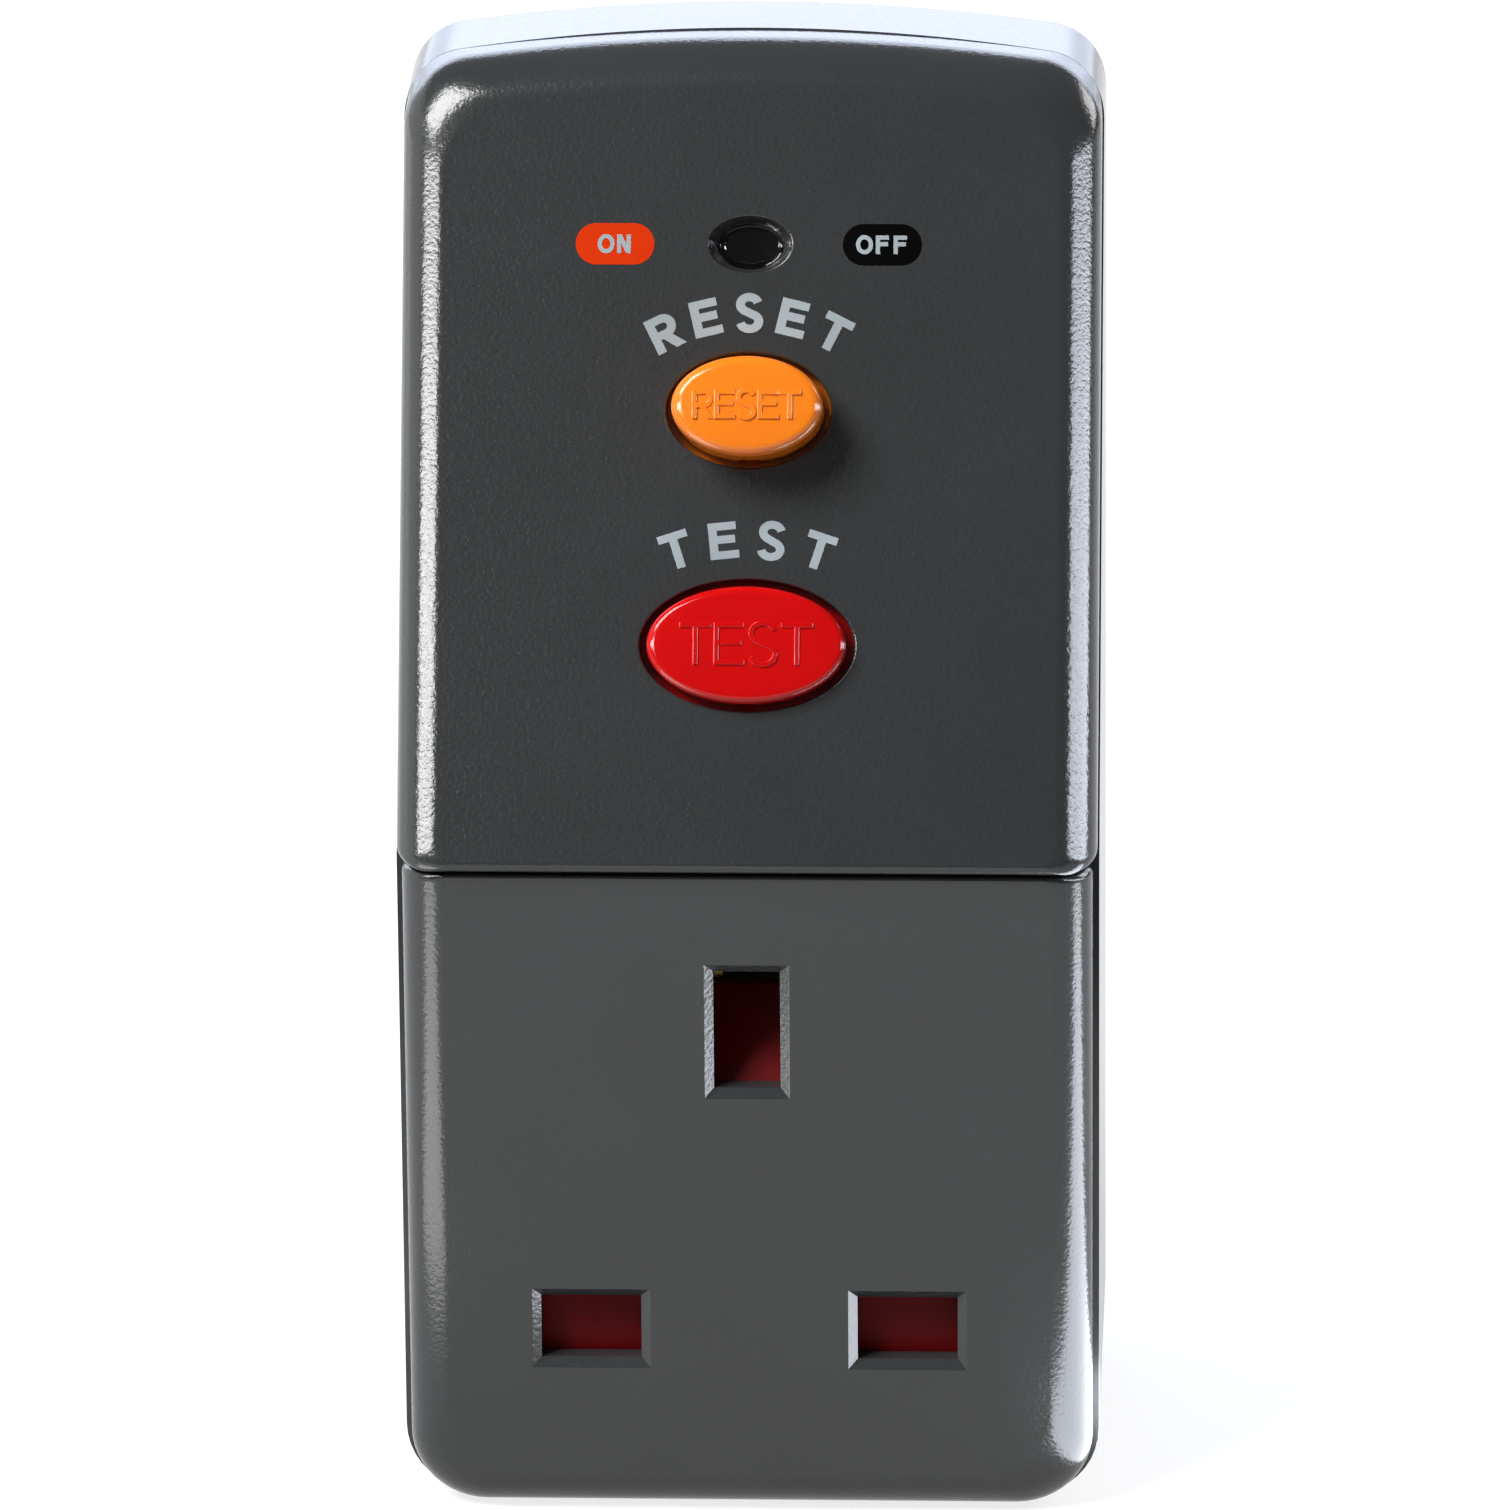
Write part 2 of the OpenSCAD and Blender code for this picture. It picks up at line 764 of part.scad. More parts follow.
module socket_shutter() {
    color([0.7, 0.06, 0.08])
    difference() {
        union() {
            span([-15.3, shutter_y, -blade_h], [15.3, shutter_y + shutter_t, blade_h]);
            span([-3, shutter_y, blade_h], [3, shutter_y + shutter_t, ramp_low]);
            translate([-3, 0, 0])
                rotate([90, 0, 90])
                    linear_extrude(height = 6)
                        polygon([
                            [shutter_y, ramp_low - 5],
                            [shutter_y, ramp_low],
                            [ramp_y - 0.6, ramp_top],
                            [ramp_y, ramp_top],
                            [ramp_y, ramp_low - 0.4],
                            [shutter_y + shutter_t, ramp_foot],
                            [shutter_y + shutter_t, ramp_low - 5]
                        ]);
        }
        span([-1.75, shutter_y - 1, 5.5], [1.75, shutter_y + shutter_t + 1, 16]);
    }
}

module shutter_spring() {
    color([0.75, 0.75, 0.75])
    translate([0, shutter_y + shutter_t / 2, 0])
        coil(1.05, 0.36, 7.1, 16, 7);
}

module mechanism_frame() {
    back = frame_d + frame_t;
    low_v = level_v(lip_z + lip_wall, frame_d) + slide_gap;
    color([0.72, 0.71, 0.66])
    on_panel()
    difference() {
        union() {
            deep(-board_hw, board_hw, low_v, 50, frame_d, back);
            both_sides() {
                for (v = [leg_v, load_v + 4])
                    deep(board_hw - 3, board_hw, v - 1.6, v + 1.6, back, board_d);
                deep_post(guide_x, reset_v, 1.3, back, board_d);
                deep_post(guide_x, reset_v, 2, latch_d - 0.1, board_d);
                deep(3.6 + slide_gap, 5.2, peg_v - 4, 52, flag_d - 0.2, frame_d);
                deep(3, 3.6 + slide_gap, peg_v - 4, 52, flag_d + 0.8 + slide_gap, frame_d);
            }
            for (v = [coil_v - 1, yoke_top_v - 1])
                deep(-5.6, 5.6, v, v + 1, back, coil_d - 5.6);
        }
        deep_post(0, reset_v, stem_r + 0.2, 0, 40);
        deep_post(0, test_v, stem_r + 0.2, 0, 40);
        deep(
            -1.2 - slide_gap, 0.8 + slide_gap,
            peg_v - 4 - slide_gap, peg_v + 0.4 + flag_travel + slide_gap, 0, 40
        );
    }
}

module window_lens() {
    color([0.2, 0.2, 0.22, 0.5])
    on_panel()
        translate([0, window_v, 0]) {
            translate([0, 0, -wall - 0.8])
                linear_extrude(height = 0.8)
                    polygon(ellipse(7.2, 5.8));
            translate([0, 0, -wall])
                linear_extrude(height = wall - 1.8)
                    polygon(ellipse(window_w - 1.4, window_h - 0.9));
        }
}

// a push button: rounded cap, flange behind the panel and a round stem
module button(w, h, proud, round_r, stem_end) {
    hull() {
        for (d = edge_depths(round_r))
            slice(
                ellipse(w - 2 * edge_inset(round_r, d), h - 2 * edge_inset(round_r, d)),
                d - proud
            );
    }
    translate([0, 0, -flange_d])
        linear_extrude(height = flange_d + proud - round_r - fine)
            polygon(ellipse(w, h));
    translate([0, 0, -flange_d - 1])
        linear_extrude(height = 1)
            polygon(ellipse(w + 1.5, h + 1.5));
    deep_post(0, 0, stem_r, flange_d + 1, stem_end);
}

module reset_button() {
    color([0.98, 0.45, 0.1])
    on_panel()
        translate([0, reset_v, 0])
            difference() {
                union() {
                    button(reset_w, reset_h, reset_proud, 0.9, carriage_d);
                    deep_post(0, 0, neck_r, carriage_d - fine, latch_d + latch_t + 0.2);
                    deep_post(0, 0, stem_r, latch_d + latch_t + 0.2, latch_d + latch_t + 0.9);
                }
                deep(-0.7, 0.7, -reset_h / 2 - 1, -reset_h / 2 + 0.5, -0.4, flange_d);
            }
}

module test_button() {
    color([0.85, 0.07, 0.07])
    on_panel()
        translate([0, test_v, 0])
            difference() {
                union() {
                    button(test_w, test_h, test_proud, 0.7, frame_d + frame_t + 0.4);
                    both_sides()
                        deep(3.4, 4.6, -4.3, -3, flange_d + 1, test_bridge_d);
                }
                deep(-0.7, 0.7, -test_h / 2 - 1, -test_h / 2 + 0.5, -0.4, flange_d);
            }
}

module test_bridge() {
    color([0.86, 0.72, 0.4])
    on_panel()
        deep(-5, 5, test_v - 4.3, test_v - 3, test_bridge_d, test_bridge_d + bridge_t);
}

module test_pads() {
    color([0.86, 0.72, 0.4])
    on_panel()
        both_sides()
            deep(3.2, 5.2, test_v - 4.4, test_v - 2.9, frame_d - pad_t, frame_d);
}

module reset_spring() {
    color([0.75, 0.75, 0.75])
    on_panel()
        translate([0, reset_v, 0])
            coil(2.6, spring_wire, -frame_d, -flange_d - 1, 3.5);
}

module test_spring() {
    color([0.75, 0.75, 0.75])
    on_panel()
        translate([0, test_v, 0])
            coil(2.45, 0.36, -frame_d, -flange_d - 1, 4);
}

module opening_spring() {
    color([0.75, 0.75, 0.75])
    on_panel()
        translate([0, reset_v, 0])
            coil(2.7, 0.36, -carriage_d, -frame_d - frame_t, 4);
}

module contact_carriage() {
    lo = latch_shoulder_v + 0.4;
    hw = board_hw - 3 - slide_gap;
    color([0.8, 0.78, 0.7])
    on_panel()
    difference() {
        union() {
            deep(-hw, hw, lo, reset_v + 3.2, carriage_d, carriage_d + carriage_t);
            deep(-4.2, -1.6, reset_v + 3.2, peg_v + 1.2, peg_d - 1.2, carriage_d + carriage_t);
            translate([-1.7, peg_v, -peg_d])
                rotate([0, 90, 0])
                    cylinder(r = 0.7, h = 2.8);
        }
        deep_post(0, reset_v, stem_r + 0.3, 0, 40);
        both_sides()
            deep_post(guide_x, reset_v, 1.3 + 0.2, 0, 40);
    }
}

module bridge_contacts() {
    color([0.86, 0.72, 0.4])
    on_panel()
        both_sides() {
            deep(contact_x - 1.5, contact_x + 1.5, load_v - 1.6, supply_v + 1.6, bridge_d + 0.6, carriage_d);
            for (v = [load_v, supply_v])
                deep_post(contact_x, v, 1.3, bridge_d, bridge_d + 0.6);
        }
}

// fixed contact under the frame plate, with a leg to the board
module fixed_contact(v) {
    deep(contact_x - 1.7, leg_x, v - 1.6, v + 1.6, frame_d + frame_t, contact_d);
    deep_post(contact_x, v, 1.3, contact_d, contact_d + contact_tip);
    deep(leg_x - leg_t, leg_x, v - 1.2, v + 1.2, contact_d, board_d);
}

module supply_contacts() {
    color([0.86, 0.72, 0.4])
    on_panel()
        both_sides()
            fixed_contact(supply_v);
}

module load_contacts() {
    color([0.86, 0.72, 0.4])
    on_panel()
        both_sides()
            fixed_contact(load_v);
}

// arm of the flag, with the slanted slot for the carriage's peg
module flag_arm() {
    slot_r = 0.7 + 0.15;
    run = [flag_travel, contact_travel];
    length = norm(run);
    tilt = atan2(contact_travel, flag_travel);
    difference() {
        union() {
            deep(-1.2, 0.8, peg_v - 3.4, peg_v + 0.4, flag_d + 0.8, frame_d + frame_t + 2);
            deep(-1.2, 0.8, peg_v - flag_travel - 1.8, peg_v + 1.8, frame_d + frame_t + 0.4, peg_d + 1.6);
        }
        translate([-2, peg_v, -peg_d])
            rotate([-tilt, 0, 0]) {
                rotate([0, 90, 0])
                    cylinder(r = slot_r, h = 4);
                span([0, -length, -slot_r], [4, 0, slot_r]);
                translate([0, -length, 0])
                    rotate([0, 90, 0])
                        cylinder(r = slot_r, h = 4);
            }
    }
}

module indicator_flag() {
    color([0.06, 0.06, 0.06])
    on_panel() {
        deep(-3.6, 3.6, window_v - flag_travel - 2, window_v + 2.4, flag_d, flag_d + 0.8);
        flag_arm();
    }
}

module flag_marker() {
    color([1, 0.4, 0.05])
    on_panel()
        deep(-3.2, 3.2, window_v - flag_travel - 1.8, window_v - 2, flag_d - 0.15, flag_d);
}

module trip_plunger() {
    color([0.6, 0.6, 0.62])
    on_panel()
    difference() {
        translate([0, yoke_top_v + 2.4, -coil_d])
            rotate([90, 0, 0])
                cylinder(r = 1.9, h = 10);
        deep(-3, 3, yoke_top_v + 0.6, yoke_top_v + 4, latch_d, latch_d + latch_t);
    }
}

module latch_plate() {
    wide_v = reset_v + trip_travel;
    color([0.65, 0.66, 0.68])
    on_panel()
    difference() {
        union() {
            deep(-1.6, 1.6, yoke_top_v + 0.6, latch_shoulder_v, latch_d, latch_d + latch_t);
            deep(-3.5, 3.5, latch_shoulder_v, wide_v + 3.4, latch_d, latch_d + latch_t);
        }
        deep_post(0, reset_v, neck_r + slide_gap, 0, 40);
        deep(-neck_r - slide_gap, neck_r + slide_gap, reset_v, wide_v, 0, 40);
        deep_post(0, wide_v, stem_r + 0.5, 0, 40);
    }
}

module latch_spring() {
    color([0.75, 0.75, 0.75])
    on_panel()
        translate([0, yoke_top_v, -coil_d])
            rotate([-90, 0, 0])
                coil(2.4, 0.36, 0, latch_shoulder_v - yoke_top_v, 3);
}

// a round piece along the coil's axis, between heights up the panel
module coil_round(r, v0, v1) {
    translate([0, v1, -coil_d])
        rotate([90, 0, 0])
            cylinder(r = r, h = v1 - v0);
}

module coil_bobbin() {
    color([0.9, 0.88, 0.8])
    on_panel()
    difference() {
        union() {
            coil_round(5.4, coil_v, coil_v + 1);
            coil_round(2.8, coil_v, coil_v + coil_len);
            coil_round(5.4, coil_v + coil_len - 1, coil_v + coil_len);
        }
        coil_round(2.2, coil_v - 1, coil_v + coil_len + 1);
    }
}

module coil_winding() {
    color([0.72, 0.4, 0.18])
    on_panel()
    difference() {
        coil_round(5, coil_v + 1.02, coil_v + coil_len - 1.02);
        coil_round(2.85, coil_v, coil_v + coil_len);
    }
}

module solenoid_yoke() {
    front = coil_d - 5.6;
    back = coil_d + 5.6;
    color([0.6, 0.61, 0.63])
    on_panel()
    difference() {
        union() {
            deep(-5.6, 5.6, coil_v - 1, coil_v, front, back + 0.8);
            deep(-5.6, 5.6, yoke_top_v - 1, yoke_top_v, front, back + 0.8);
            deep(-5.6, 5.6, coil_v - 1, yoke_top_v, back, back + 0.8);
        }
        coil_round(2.3, yoke_top_v - 2, yoke_top_v + 1);
    }
}

module pole_piece() {
    color([0.6, 0.6, 0.62])
    on_panel()
        coil_round(2.1, coil_v, coil_v + 2.2);
}

module toroid_core() {
    color([0.25, 0.4, 0.35])
    translate(toroid_pos)
        rotate_extrude()
            translate([4.6, -toroid_h / 2 + 0.8])
                square([toroid_d / 2 - 5.4, toroid_h - 1.6]);
}

module toroid_winding() {
    color([0.75, 0.42, 0.2])
    translate(toroid_pos)
        rotate_extrude()
            difference() {
                translate([3.7, -toroid_h / 2])
                    square([toroid_d / 2 - 3.7, toroid_h]);
                translate([4.55, -toroid_h / 2 + 0.75])
                    square([toroid_d / 2 - 5.3, toroid_h - 1.5]);
            }
}

module circuit_board() {
    color([0.1, 0.4, 0.2])
    on_panel()
    difference() {
        deep(-board_hw, board_hw, 3, reset_v + 3.8, board_d, board_d + board_t);
        deep(-coil_room, coil_room, coil_v - 2.6, latch_shoulder_v + 0.8, 0, 40);
        deep_post(0, reset_v, stem_r + 0.6, 0, 40);
    }
}

module control_chip() {
    x = -board_hw + 2;
    color([0.08, 0.08, 0.09])
    on_panel() {
        deep(x, x + 5, 11.5, 15.5, board_d - 1.6, board_d - 0.1);
        for (i = [0:3])
            deep(x + 0.7 + 1.2 * i, x + 1.1 + 1.2 * i, 10.6, 16.4, board_d - 0.5, board_d);
    }
}

module varistor() {
    color([0.2, 0.3, 0.65])
    on_panel()
        deep_post(board_hw - 4.7, 13.4, 4.1, board_d - 3.6, board_d);
}

module film_capacitor() {
    back = board_d + board_t;
    color([0.8, 0.65, 0.15])
    on_panel()
        deep(coil_room + 1.4, board_hw - 0.4, 14, 21, back, back + 6);
}

module resistors() {
    color([0.75, 0.65, 0.5])
    on_panel()
        for (v = [18.6, 21.2, 23.8])
            translate([0.4 - board_hw, v, -board_d + 1])
                rotate([0, 90, 0]) {
                    translate([0, 0, 1.5])
                        cylinder(r = 1, h = 5.4);
                    cylinder(r = 0.3, h = 8.4);
                }
}

module rectifier_diodes() {
    color([0.1, 0.1, 0.1])
    on_panel()
        for (v = [19.6, 22.2])
            translate([board_hw - 8.2, v, -board_d + 1])
                rotate([0, 90, 0]) {
                    translate([0, 0, 1.5])
                        cylinder(r = 1, h = 4.6);
                    cylinder(r = 0.3, h = 7.6);
                }
}

module thyristor() {
    color([0.1, 0.1, 0.1])
    on_panel()
        translate([board_hw - 6.2, 6.4, -board_d])
            intersection() {
                cylinder(r = 2.3, h = 4.6);
                translate([-3, -1.4, 0])
                    cube([6, 6, 5]);
            }
}

rear_shell();
control_cover();
socket_cover();
case_screws();
earth_pin();
line_pin();
neutral_pin();
line_pin_sleeve();
neutral_pin_sleeve();
pin_clamp();
contact_carrier();
earth_contact();
line_contact();
neutral_contact();
line_supply_strip();
neutral_supply_strip();
line_load_wire();
neutral_load_wire();
socket_shutter();
shutter_spring();
mechanism_frame();
window_lens();
reset_button();
reset_spring();
test_button();
test_spring();
test_bridge();
test_pads();
contact_carriage();
bridge_contacts();
opening_spring();
supply_contacts();
load_contacts();
indicator_flag();
flag_marker();
trip_plunger();
latch_plate();
latch_spring();
coil_bobbin();
coil_winding();
solenoid_yoke();
pole_piece();
toroid_core();
toroid_winding();
circuit_board();
control_chip();
varistor();
film_capacitor();
resistors();
rectifier_diodes();
thyristor();
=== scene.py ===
"""RCD adapter plug: finish, lettering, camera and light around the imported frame.

Metres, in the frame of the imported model: front -Y, up +Z, the wall face on y = 0.
The panel has its own coordinates: x across, v up the slope from the seam, d below the panel.
"""
import json
import math

import bmesh
import bpy
from mathutils import Matrix, Quaternion, Vector


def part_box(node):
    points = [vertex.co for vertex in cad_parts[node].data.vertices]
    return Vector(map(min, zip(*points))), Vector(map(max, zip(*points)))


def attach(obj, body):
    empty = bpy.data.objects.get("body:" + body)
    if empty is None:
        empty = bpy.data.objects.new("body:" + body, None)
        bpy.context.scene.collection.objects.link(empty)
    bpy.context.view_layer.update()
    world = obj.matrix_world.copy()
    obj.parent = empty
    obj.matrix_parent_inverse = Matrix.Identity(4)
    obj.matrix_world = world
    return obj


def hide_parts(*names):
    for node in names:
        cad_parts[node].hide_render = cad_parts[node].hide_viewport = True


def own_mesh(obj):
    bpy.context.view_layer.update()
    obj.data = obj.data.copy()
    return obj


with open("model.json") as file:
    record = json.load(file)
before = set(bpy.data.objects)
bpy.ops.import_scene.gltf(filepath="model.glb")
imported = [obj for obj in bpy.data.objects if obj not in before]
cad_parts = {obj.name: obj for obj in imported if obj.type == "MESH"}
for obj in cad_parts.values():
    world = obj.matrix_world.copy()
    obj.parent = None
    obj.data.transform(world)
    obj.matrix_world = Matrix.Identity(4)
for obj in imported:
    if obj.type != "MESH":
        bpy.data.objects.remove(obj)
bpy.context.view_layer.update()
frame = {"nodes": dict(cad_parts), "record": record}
NODES = frame["nodes"]

MM = 0.001

# Body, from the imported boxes
SHELL_LOW, SHELL_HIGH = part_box("rear_shell")
BODY_HW = SHELL_HIGH.x
BOTTOM_Z = SHELL_LOW.z
TOP_Z = SHELL_HIGH.z
FACE_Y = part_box("socket_cover")[0].y

# Body, sizes that the boxes don't give
SEAM_Z = 33.7 * MM
LEAN = math.radians(23)
PANEL_Y = FACE_Y - 1.0 * MM
WALL = 2.2 * MM
BASE_WALL = 3.0 * MM
LID_STEP = 0.12 * MM
LID_DEPTH = 4.4 * MM
LIP_Z = SEAM_Z + 0.25 * MM
LIP_WALL = 1.8 * MM
FACE_T = 1.9 * MM
ROOF_Z = SEAM_Z - 1.9 * MM
RIM_Y = PANEL_Y + LID_DEPTH / math.cos(LEAN)
RIM_GAP = 0.04 * MM
LID_HW = BODY_HW - LID_STEP
SOCKET_HW = LID_HW - 0.3 * MM
FLOOR_HW = 22.6 * MM
FLOOR_INSET = 1.2 * MM
FLOOR_PAST_EARTH = 7.0 * MM

# Rounding
EDGE_R = 3.0 * MM
EDGE_STEPS = 14
LIP_R = 1.0 * MM
LIP_CORNER_R = 1.2 * MM
LIP_CORNER_R_IN = 1.0 * MM
REAR_R = 1.8 * MM
CORNER_R = 4.4 * MM
FOOT_R = 5.2 * MM
PANEL_CORNER_R = 5.0 * MM
SOCKET_TOP_R = 0.6 * MM
ARCH_R = 150.0 * MM
SOFT_R = 0.25 * MM
RIM_SOFT = 0.05 * MM

# Plug and socket
PIN_X = 11.115 * MM
EARTH_Z = 22.23 * MM
PIN_T = 3.97 * MM
PIN_W = 6.35 * MM
EARTH_W = 7.94 * MM
APERTURE_GAP = 0.34 * MM
BEVEL_W = 0.62 * MM
BEVEL_D = 0.49 * MM
BEVEL_EASE = 0.06 * MM
FLANGE_Y = -5.5 * MM
PIN_PLAY = 0.05 * MM

# Controls
RESET_V, RESET_W, RESET_H, RESET_PROUD = 32.8 * MM, 10.5 * MM, 7.0 * MM, 4.0 * MM
RESET_CROWN, RESET_EDGE = 0.14 * MM, 0.8 * MM
TEST_V, TEST_W, TEST_H, TEST_PROUD = 16.4 * MM, 13.9 * MM, 8.2 * MM, 1.2 * MM
TEST_CROWN, TEST_EDGE = 0.1 * MM, 0.6 * MM
WINDOW_V, WINDOW_W, WINDOW_H = 44.4 * MM, 5.78 * MM, 3.95 * MM
LENS_FLANGE_W, LENS_FLANGE_H, LENS_FLANGE_T = 7.2 * MM, 5.8 * MM, 0.8 * MM
BUTTON_GAP = 0.5 * MM
FLANGE_D, FLANGE_T, FLANGE_LIP = 2.5 * MM, 1.0 * MM, 1.5 * MM
STEM_R, NECK_R = 2.0 * MM, 1.3 * MM
INK_T = 0.02 * MM

# Mechanism depths below the panel, where springs and stems end
FRAME_D = 8.0 * MM
FRAME_BACK = 10.0 * MM
CARRIAGE_D = 14.8 * MM
LATCH_BACK = 18.1 * MM
COIL_D = 17.8 * MM
YOKE_TOP_V = 24.0 * MM
SHUTTER_MID_Y = -31.3 * MM

# Case screws: x, z and the y where the bosses of shell and cover meet
SCREW_X = BODY_HW - WALL - 2.6 * MM
SCREW_SPOTS = (
    (SCREW_X - 0.3 * MM, BOTTOM_Z + 5.1 * MM, -14.0 * MM),
    (SCREW_X, SEAM_Z + 5.6 * MM, -16.0 * MM),
    (SCREW_X - 3.0 * MM, TOP_Z - 7.3 * MM, -6.6 * MM),
)
PILOT_R = 1.3 * MM
COVER_BOSS_R = 2.4 * MM
SOCKET_BOSS_R = 2.2 * MM
BOSS_ROOT = 0.4 * MM
SHELL_BOSS_R, SHELL_BORE_R = 2.7 * MM, 1.5 * MM
SEAT_R, SEAT_Y = 3.6 * MM, -4.4 * MM
HEAD_R, HEAD_Y = 2.9 * MM, -2.2 * MM
HEAD_EASE = 0.15 * MM
PAST = 1.0 * MM  # how far a cutter or a root runs past a face

SIN, COS, TAN = math.sin(LEAN), math.cos(LEAN), math.tan(LEAN)
PANEL_UP = Vector((0, SIN, COS))
PANEL_OUT = Vector((0, -COS, SIN))
PANEL_ORIGIN = Vector((0, PANEL_Y, SEAM_Z))
PANEL_FRAME = Matrix((
    (1, 0, 0, 0),
    (0, SIN, -COS, PANEL_Y),
    (0, COS, SIN, SEAM_Z),
    (0, 0, 0, 1),
))
SOCKET_FRAME = Matrix((
    (1, 0, 0, 0),
    (0, 0, -1, FACE_Y),
    (0, 1, 0, 0),
    (0, 0, 0, 1),
))


# Outlines

def bend(cx, cy, rx, ry, start, end, steps=16):
    """Points of an elliptical arc, angles in degrees."""
    angles = [math.radians(start + (end - start) * i / steps) for i in range(steps + 1)]
    return [(cx + rx * math.cos(a), cy + ry * math.sin(a)) for a in angles]


def arc(cx, cy, r, start, end, steps):
    """Points of a round arc, angles in degrees."""
    return bend(cx, cy, r, r, start, end, steps)


def side_points(x, low, high, levels):
    """Points on a straight side between two heights, at the given levels."""
    return [(x, z) for z in levels if min(low, high) + 1e-6 < z < max(low, high) - 1e-6]


def crowned(hw, low, high, r_low, r_high, levels=()):
    """Outline with a crowned top whose corners run into the crown."""
    cy = high - ARCH_R
    zc = cy + math.sqrt((ARCH_R - r_high) ** 2 - (hw - r_high) ** 2)
    a = math.degrees(math.atan2(zc - cy, hw - r_high))
    levels = sorted(levels)
    return (
        arc(-hw + r_low, low + r_low, r_low, 180, 270, 10)
        + arc(hw - r_low, low + r_low, r_low, 270, 360, 10)
        + side_points(hw, low + r_low, zc, levels)
        + arc(hw - r_high, zc, r_high, 0, a, 12)
        + arc(0, cy, ARCH_R, a, 180 - a, 40)[1:-1]
        + arc(-hw + r_high, zc, r_high, 180 - a, 180, 12)
        + side_points(-hw, low + r_low, zc, levels[::-1])
    )


def boxed(hw, low, high, r_low, r_high):
    """Outline with a flat top."""
    return (
        arc(-hw + r_low, low + r_low, r_low, 180, 270, 12)
        + arc(hw - r_low, low + r_low, r_low, 270, 360, 12)
        + arc(hw - r_high, high - r_high, r_high, 0, 90, 6)
        + arc(-hw + r_high, high - r_high, r_high, 90, 180, 6)
    )


def ellipse(w, h, steps=96):
    """Outline of an ellipse from its width and height."""
    angles = [2 * math.pi * i / steps for i in range(steps)]
    return [(w / 2 * math.cos(a), h / 2 * math.sin(a)) for a in angles]


def rectangle(hw, hh):
    """Outline of a rectangle from its half width and half height."""
    return [(-hw, -hh), (hw, -hh), (hw, hh), (-hw, hh)]


def level_v(z, d):
    """Height up the panel of a level plane, at a depth below the panel."""
    return (z - SEAM_Z + d * SIN) / COS


def edge_inset(r, d):
    """Inset of a rounded edge at a depth below its face."""
    return 0.0 if d >= r else r - math.sqrt(r * r - (r - d) ** 2)


def edge_depths(r, steps):
    """Depths below the face at which a rounded edge gets its rings."""
    return [r * (1 - math.cos(math.radians(90 * i / steps))) for i in range(steps + 1)]


# Meshes

def lift(outline, height, place):
    """An outline at a height over its plane, placed in the frame."""
    return [place @ Vector((x, y, height)) for x, y in outline]


def loft(mesh, rings):
    """Adds a closed skin through rings of points to a bmesh."""
    rows = [[mesh.verts.new(p) for p in ring] for ring in rings]
    count = len(rows[0])
    for a, b in zip(rows, rows[1:]):
        for i in range(count):
            k = (i + 1) % count
            mesh.faces.new((a[i], a[k], b[k], b[i]))
    mesh.faces.new(rows[0][::-1])
    mesh.faces.new(rows[-1])


def linked(name, data):
    """A new object in the scene."""
    obj = bpy.data.objects.new(name, data)
    bpy.context.scene.collection.objects.link(obj)
    return obj


def settled(name, mesh):
    """A new object from a bmesh, which is cleaned and freed."""
    bmesh.ops.remove_doubles(mesh, verts=mesh.verts, dist=1e-8)
    bmesh.ops.recalc_face_normals(mesh, faces=mesh.faces)
    data = bpy.data.meshes.new(name)
    mesh.to_mesh(data)
    mesh.free()
    return linked(name, data)


def mesh_object(name, *skins):
    """An object whose mesh is made of closed skins, each a list of rings."""
    mesh = bmesh.new()
    for rings in skins:
        loft(mesh, rings)
    return settled(name, mesh)


def combine(obj, other, operation):
    """Unites obj with other, or cuts other from it."""
    step = obj.modifiers.new(operation.lower(), "BOOLEAN")
    step.object = other
    step.operation = operation
    step.solver = "EXACT"
    graph = bpy.context.evaluated_depsgraph_get()
    made = bpy.data.meshes.new_from_object(obj.evaluated_get(graph))
    old = obj.data
    obj.modifiers.clear()
    obj.data = made
    made.name = obj.name
    bpy.data.meshes.remove(old)
    bpy.data.objects.remove(other)


def soften(obj, angle=32):
    """Smooth shading that keeps edges sharper than the angle, in degrees."""
    mesh = bmesh.new()
    mesh.from_mesh(obj.data)
    bmesh.ops.dissolve_degenerate(mesh, dist=1e-7, edges=mesh.edges)
    for face in mesh.faces:
        face.smooth = True
    for edge in mesh.edges:
        edge.smooth = edge.is_manifold and edge.calc_face_angle(0) < math.radians(angle)
    mesh.to_mesh(obj.data)
    mesh.free()
    weighted = obj.modifiers.new("weighted", "WEIGHTED_NORMAL")
    weighted.keep_sharp = True


def ease_edges(obj, width, segments=3):
    """Rounds the sharp edges of an object, whose mesh stays as it is."""
    weld = obj.modifiers.new("weld", "WELD")
    weld.merge_threshold = 1e-6
    bevel = obj.modifiers.new("edges", "BEVEL")
    bevel.width = width
    bevel.segments = segments
    bevel.limit_method = "ANGLE"
    bevel.angle_limit = math.radians(35)
    bevel.use_clamp_overlap = True
    bevel.harden_normals = True


def dress(obj, material, body, slot, *nodes):
    """Gives a piece its material and its body, and hides the nodes that it stands for. Its slot
    is not used.
    """
    obj.data.materials.clear()
    obj.data.materials.append(material)
    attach(obj, body)
    if nodes:
        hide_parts(*nodes)
    return obj


def round_post(x, z, profile, steps=40):
    """Rings of a round post along -Y, from a profile of (radius, y) pairs."""
    circle = ellipse(2, 2, steps)
    return [[(x + r * cx, y, z + r * cz) for cx, cz in circle] for r, y in profile]


def box_rings(low, high):
    """Rings of a box between two corners."""
    outline = [(low[0], low[2]), (high[0], low[2]), (high[0], high[2]), (low[0], high[2])]
    return [[(x, y, z) for x, z in outline] for y in (low[1], high[1])]


# Materials

DRIFT_SIZE = 9 * MM
STREAK_SIZE = 0.3 * MM
NOISE_LOW, NOISE_HIGH = 0.3, 0.7  # most of a noise pattern lies between these


